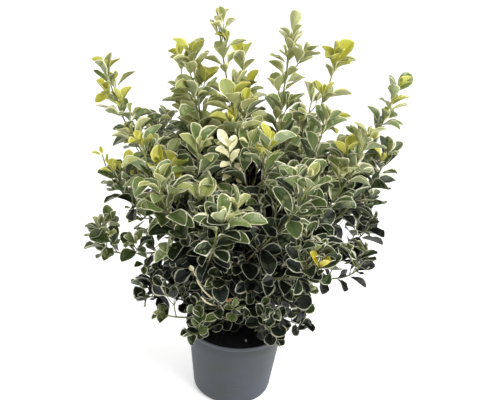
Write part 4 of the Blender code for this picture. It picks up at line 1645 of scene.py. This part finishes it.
@dataclass(frozen=True)
class Pot:
    """The round nursery pot: a rounded foot, a straight taper, and a flared lip with a rolled rim."""

    steps: int = 128

    def wall(self, height: float) -> float:
        """The wall's outer radius at a height, on its straight taper."""
        return BASE_RADIUS + (WALL_TOP_RADIUS - BASE_RADIUS) * height / (POT_HEIGHT - LIP_HEIGHT)

    def outline(self) -> list[tuple[float, float]]:
        """The section from the middle of the underside, up the outside, over the rim and down the inside."""
        lip_foot = POT_HEIGHT - LIP_HEIGHT
        rim = POT_WALL * 0.8
        round_out = BASE_ROUNDING
        bottom = self.wall(0.0) - round_out
        outside = [(0.0, 0.0), (0.5 * bottom, 0.0), (bottom - 0.002, 0.0)]
        outside += arc((bottom + 0.0008, round_out), round_out, -88, -8, 9)
        heights = np.linspace(round_out + 0.004, lip_foot - 0.003, 14)
        outside += [(self.wall(h), float(h)) for h in heights]
        flare = [(WALL_TOP_RADIUS + 0.0003, lip_foot), (WALL_TOP_RADIUS + 0.0018, lip_foot + 0.0022)]
        flare += [(LIP_RADIUS - 0.0012, lip_foot + 0.0056), (LIP_RADIUS - 0.0003, lip_foot + 0.0090)]
        top = arc((LIP_RADIUS - rim, POT_HEIGHT - rim), rim, 0, 180, 9)
        inner = LIP_RADIUS - 2 * rim
        inside = [(inner - 0.0004, lip_foot + 0.0070), (WALL_TOP_RADIUS - POT_WALL, lip_foot)]
        inside += [(self.wall(float(h)) - POT_WALL, float(h)) for h in heights[::-1]]
        inside += [(self.wall(round_out) - POT_WALL - 0.002, 0.006), (bottom, POT_FLOOR)]
        return outside + flare + top + inside + [(0.5 * bottom, POT_FLOOR), (0.0, POT_FLOOR)]

    def build(self, plastic: bpy.types.Material) -> bpy.types.Object:
        """Builds the shell and drills its drain holes.

        Args:
            plastic: Its finish.

        Returns:
            The piece.
        """
        pot = turned_shell("pot_shell", self.outline(), self.steps, plastic)
        drills = Heap()
        shape = Topology(2, 24)
        turn = np.arange(24) * 2 * math.pi / 24
        for index in range(DRAIN_HOLES):
            angle = 2 * math.pi * (index + 0.5) / DRAIN_HOLES
            middle = np.array((DRAIN_CIRCLE * math.cos(angle), DRAIN_CIRCLE * math.sin(angle), 0.0))
            ends = middle + np.outer((-3 * POT_FLOOR, 3 * POT_FLOOR), UP)
            circle = np.stack([np.cos(turn), np.sin(turn), 0 * turn], axis=-1) * DRAIN_RADIUS
            rings = (ends[:, None, :] + circle).reshape(-1, 3)
            points = np.concatenate([ends[:1], rings, ends[1:]])[None]
            marks = np.zeros((1, 24), dtype=np.int64)
            drills.add(points, shape, marks, np.zeros((1, 48), dtype=np.int64), np.zeros((shape.size, 2)))
        drill = drills.piece("drain_drill", [plastic])
        cut = pot.modifiers.new("drain", "BOOLEAN")
        cut.operation = "DIFFERENCE"
        cut.solver = "EXACT"
        cut.object = drill
        graph = bpy.context.evaluated_depsgraph_get()
        mesh = bpy.data.meshes.new_from_object(pot.evaluated_get(graph))
        pot.modifiers.clear()
        pot.data = mesh
        bpy.data.objects.remove(drill)
        return carried(pot, "pot_plastic", "pot")


@dataclass(frozen=True)
class Compost:
    """The compost: a rough dark top that rises a little to the trunk, with chips and a few pale flecks on it."""

    steps: int = 160
    rings: int = 44
    chips: int = 900
    flecks: tuple[tuple[float, float], ...] = ((294, 0.075), (338, 0.058), (345, 0.071))

    def top(self, reach: Floats, turn: Floats) -> Floats:
        """The height of the compost: a low dome, with seeded relief of about 1.5 mm that fades at the wall."""
        dome = COMPOST_Z - COMPOST_DOME * (reach / WALL_TOP_RADIUS) ** 2
        rough = ripples(turn, reach / 0.004, 21, (3, 19), 16) + ripples(turn, reach / 0.0016, 22, (9, 46), 16)
        fade = np.clip((WALL_TOP_RADIUS - 0.004 - reach) / 0.02, 0.15, 1.0)
        return dome + 0.0009 * rough * fade - 0.0012

    def build(self, finish: bpy.types.Material, pale: bpy.types.Material) -> bpy.types.Object:
        """Builds the body of the compost with its rough top, and the chips that lie on it.

        Args:
            finish: The compost's finish.
            pale: The finish of the pale flecks.

        Returns:
            The piece.
        """
        pot = Pot()
        side = POT_WALL + GAP
        edge = COMPOST_Z - COMPOST_DOME - 0.001
        outline = [(0.0, POT_FLOOR + GAP), (pot.wall(0.0) - BASE_ROUNDING - 0.001, POT_FLOOR + GAP)]
        outline += [(pot.wall(BASE_ROUNDING) - side - 0.002, BASE_ROUNDING), (pot.wall(edge) - side, edge)]
        reaches = np.linspace(pot.wall(edge) - side, 0.0, self.rings)[1:]
        outline += [(float(reach), 0.0) for reach in reaches[:-1]] + [(0.0, COMPOST_Z - 0.0012)]
        turn = np.arange(self.steps)[None, :] * 2 * math.pi / self.steps
        sag = np.zeros((len(outline) - 2, self.steps))
        sag[3:] = self.top(reaches[:-1, None], turn)
        body = turned_shell("compost_body", outline, self.steps, finish, sag)
        self.scatter(finish, pale)
        return carried(body, "compost", "compost")

    def scatter(self, finish: bpy.types.Material, pale: bpy.types.Material) -> bpy.types.Object:
        """Chips of bark and three pale flecks, as small flattened lumps half sunk in the compost.

        Args:
            finish: The chips' finish.
            pale: The flecks' finish.

        Returns:
            The piece.
        """
        chance = np.random.default_rng(31)
        number = self.chips + len(self.flecks)
        reach = np.sqrt(chance.uniform(0.03, 0.94, number)) * (WALL_TOP_RADIUS - 0.006)
        turn = chance.uniform(0, 2 * math.pi, number)
        long = chance.uniform(0.0012, 0.0042, number)
        for index, (bearing, place) in enumerate(self.flecks):
            reach[index], turn[index], long[index] = place, math.radians(bearing), 0.0068
        middle = np.stack([reach * np.cos(turn), reach * np.sin(turn), self.top(reach, turn)], axis=-1)
        middle[: len(self.flecks), 2] += 0.0012
        heading = chance.uniform(0, math.pi, number)
        tilt = chance.normal(0.0, 0.25, number)
        level = np.stack([np.cos(heading), np.sin(heading), tilt], axis=-1)
        along = unit(level)
        side = unit(np.cross(UP, along))
        up = np.cross(along, side)
        spans = np.array((-0.55, 0.55))
        angles = np.arange(5) * 2 * math.pi / 5
        ring = np.stack([0 * angles, 0.36 * np.cos(angles), 0.22 * np.sin(angles)], axis=-1)
        local = (spans[:, None, None] * np.array((1.0, 0, 0)) + ring).reshape(-1, 3)
        local = np.concatenate([[(-1.0, 0, 0)], local, [(1.0, 0, 0)]])[None] * long[:, None, None]
        local = local * (1 + chance.normal(0.0, 0.12, local.shape))
        points = middle[:, None, :] + local @ np.stack([along, side, up], axis=1)
        shape = Topology(2, 5)
        mark = (np.arange(number) < len(self.flecks)).astype(np.int64)[:, None]
        heap = Heap()
        quads, tris = np.repeat(mark, len(shape.quads), 1), np.repeat(mark, len(shape.tris), 1)
        heap.add(points, shape, quads, tris, np.zeros((shape.size, 2)))
        return carried(heap.piece("compost_chips", [finish, pale]), "compost")


@dataclass(frozen=True)
class Lamp:
    """A soft square area light that points at the plant."""

    name: str
    place: tuple[float, float, float]
    size: float
    power: float

    def build(self, aim: Vector) -> None:
        """Adds the light, turned towards aim."""
        light = bpy.data.lights.new(self.name, "AREA")
        light.size = self.size
        light.energy = self.power
        holder = bpy.data.objects.new(self.name, light)
        holder.location = self.place
        holder.rotation_euler = (aim - Vector(self.place)).to_track_quat("-Z", "Y").to_euler()
        bpy.context.scene.collection.objects.link(holder)


@dataclass(frozen=True)
class Studio:
    """A plain pale floor, soft light, and the camera at the photograph's angle."""

    camera_place: tuple[float, float, float] = (0.0125, -1.87, 1.456)
    look_down: float = 25.8
    roll: float = 4.5
    focal_pixels: float = 847.0
    photo_width: float = 500.0
    sensor: float = 36.0
    floor_reach: float = 30.0
    sweep: tuple[tuple[float, float], ...] = ((0.86, 0.0), (0.92, 0.01), (0.96, 0.045), (0.985, 0.12), (1.0, 0.28))
    sweep_sides: int = 64
    sky: float = 0.72
    lamps: tuple[Lamp, ...] = (
        Lamp("key_light", (1.5, -1.5, 3.0), 1.6, 84.0),
        Lamp("fill_light", (-2.2, -1.8, 1.7), 1.6, 7.0),
        Lamp("back_light", (-0.6, 2.4, 2.6), 1.8, 22.0),
        Lamp("side_light", (2.6, -0.4, 0.35), 0.8, 30.0),
    )

    def build(self) -> None:
        """Adds the floor, the sky, the lamps and the camera, and keeps the colours as they are."""
        scene = bpy.context.scene
        scene.view_settings.view_transform = "Standard"
        world = bpy.data.worlds.new("studio")
        world.use_nodes = True
        background = world.node_tree.nodes["Background"]
        background.inputs["Color"].default_value = (1.0, 1.0, 1.0, 1.0)
        background.inputs["Strength"].default_value = self.sky
        scene.world = world
        self.floor()
        for lamp in self.lamps:
            lamp.build(Vector((0.0, 0.0, 0.55)))
        data = bpy.data.cameras.new("camera")
        data.sensor_width = self.sensor
        data.lens = self.focal_pixels / self.photo_width * self.sensor
        camera = bpy.data.objects.new("camera", data)
        tilt = Matrix.Rotation(math.radians(90 - self.look_down), 4, "X")
        camera.matrix_world = Matrix.Translation(self.camera_place) @ tilt @ Matrix.Rotation(
            math.radians(self.roll), 4, "Z"
        )
        scene.collection.objects.link(camera)
        scene.camera = camera

    def floor(self) -> None:
        """A wide plain white floor that turns up at its far edge: rings of reach r R and height h R about Z."""
        turn = np.arange(self.sweep_sides) * 2 * math.pi / self.sweep_sides
        spokes = np.stack([np.cos(turn), np.sin(turn), 0 * turn], axis=-1)
        rings = np.concatenate([(spokes * reach + UP * rise) * self.floor_reach for reach, rise in self.sweep])
        here = np.arange(self.sweep_sides)
        there = (here + 1) % self.sweep_sides
        row = np.arange(len(self.sweep) - 1)[:, None] * self.sweep_sides
        above = row + self.sweep_sides
        walls = np.stack([row + here, row + there, above + there, above + here], axis=-1).reshape(-1, 4)
        mesh = bpy.data.meshes.new("floor")
        mesh.from_pydata(rings.tolist(), [], [here.tolist(), *walls.tolist()])
        nodes = Nodes("floor_white")
        nodes.shader.inputs["Base Color"].default_value = (0.95, 0.95, 0.95, 1.0)
        nodes.shader.inputs["Emission Color"].default_value = (1.0, 1.0, 1.0, 1.0)
        nodes.shader.inputs["Emission Strength"].default_value = 0.30
        nodes.shader.inputs["Roughness"].default_value = 0.9
        mesh.materials.append(nodes.material)
        floor = bpy.data.objects.new("floor", mesh)
        bpy.context.scene.collection.objects.link(floor)
        floor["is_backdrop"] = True


def main() -> None:
    """Loads the frame and builds the scene round it."""
    logging.basicConfig(level=logging.INFO, format="%(name)s: %(message)s")
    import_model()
    Studio().build()
    Pot().build(PlasticFinish("pot_plastic", (49, 55, 54), (57, 62, 73), (88, 92, 101)).material())
    soil = CompostFinish("compost", (11, 11, 13), (28, 26, 26)).material()
    Compost().build(soil, TwigFinish("fleck", (168, 164, 160)).material())
    bark = BarkFinish("bark", (46, 38, 27), (98, 86, 62), (120, 118, 84)).material()
    Trunk().build(bark)
    for seed, name in enumerate(LIMBS):
        Bough(name, seed + 40).build(bark)
    crown = Crown()
    crown.grow()
    crown.build()


if __name__ == "__main__":
    main()
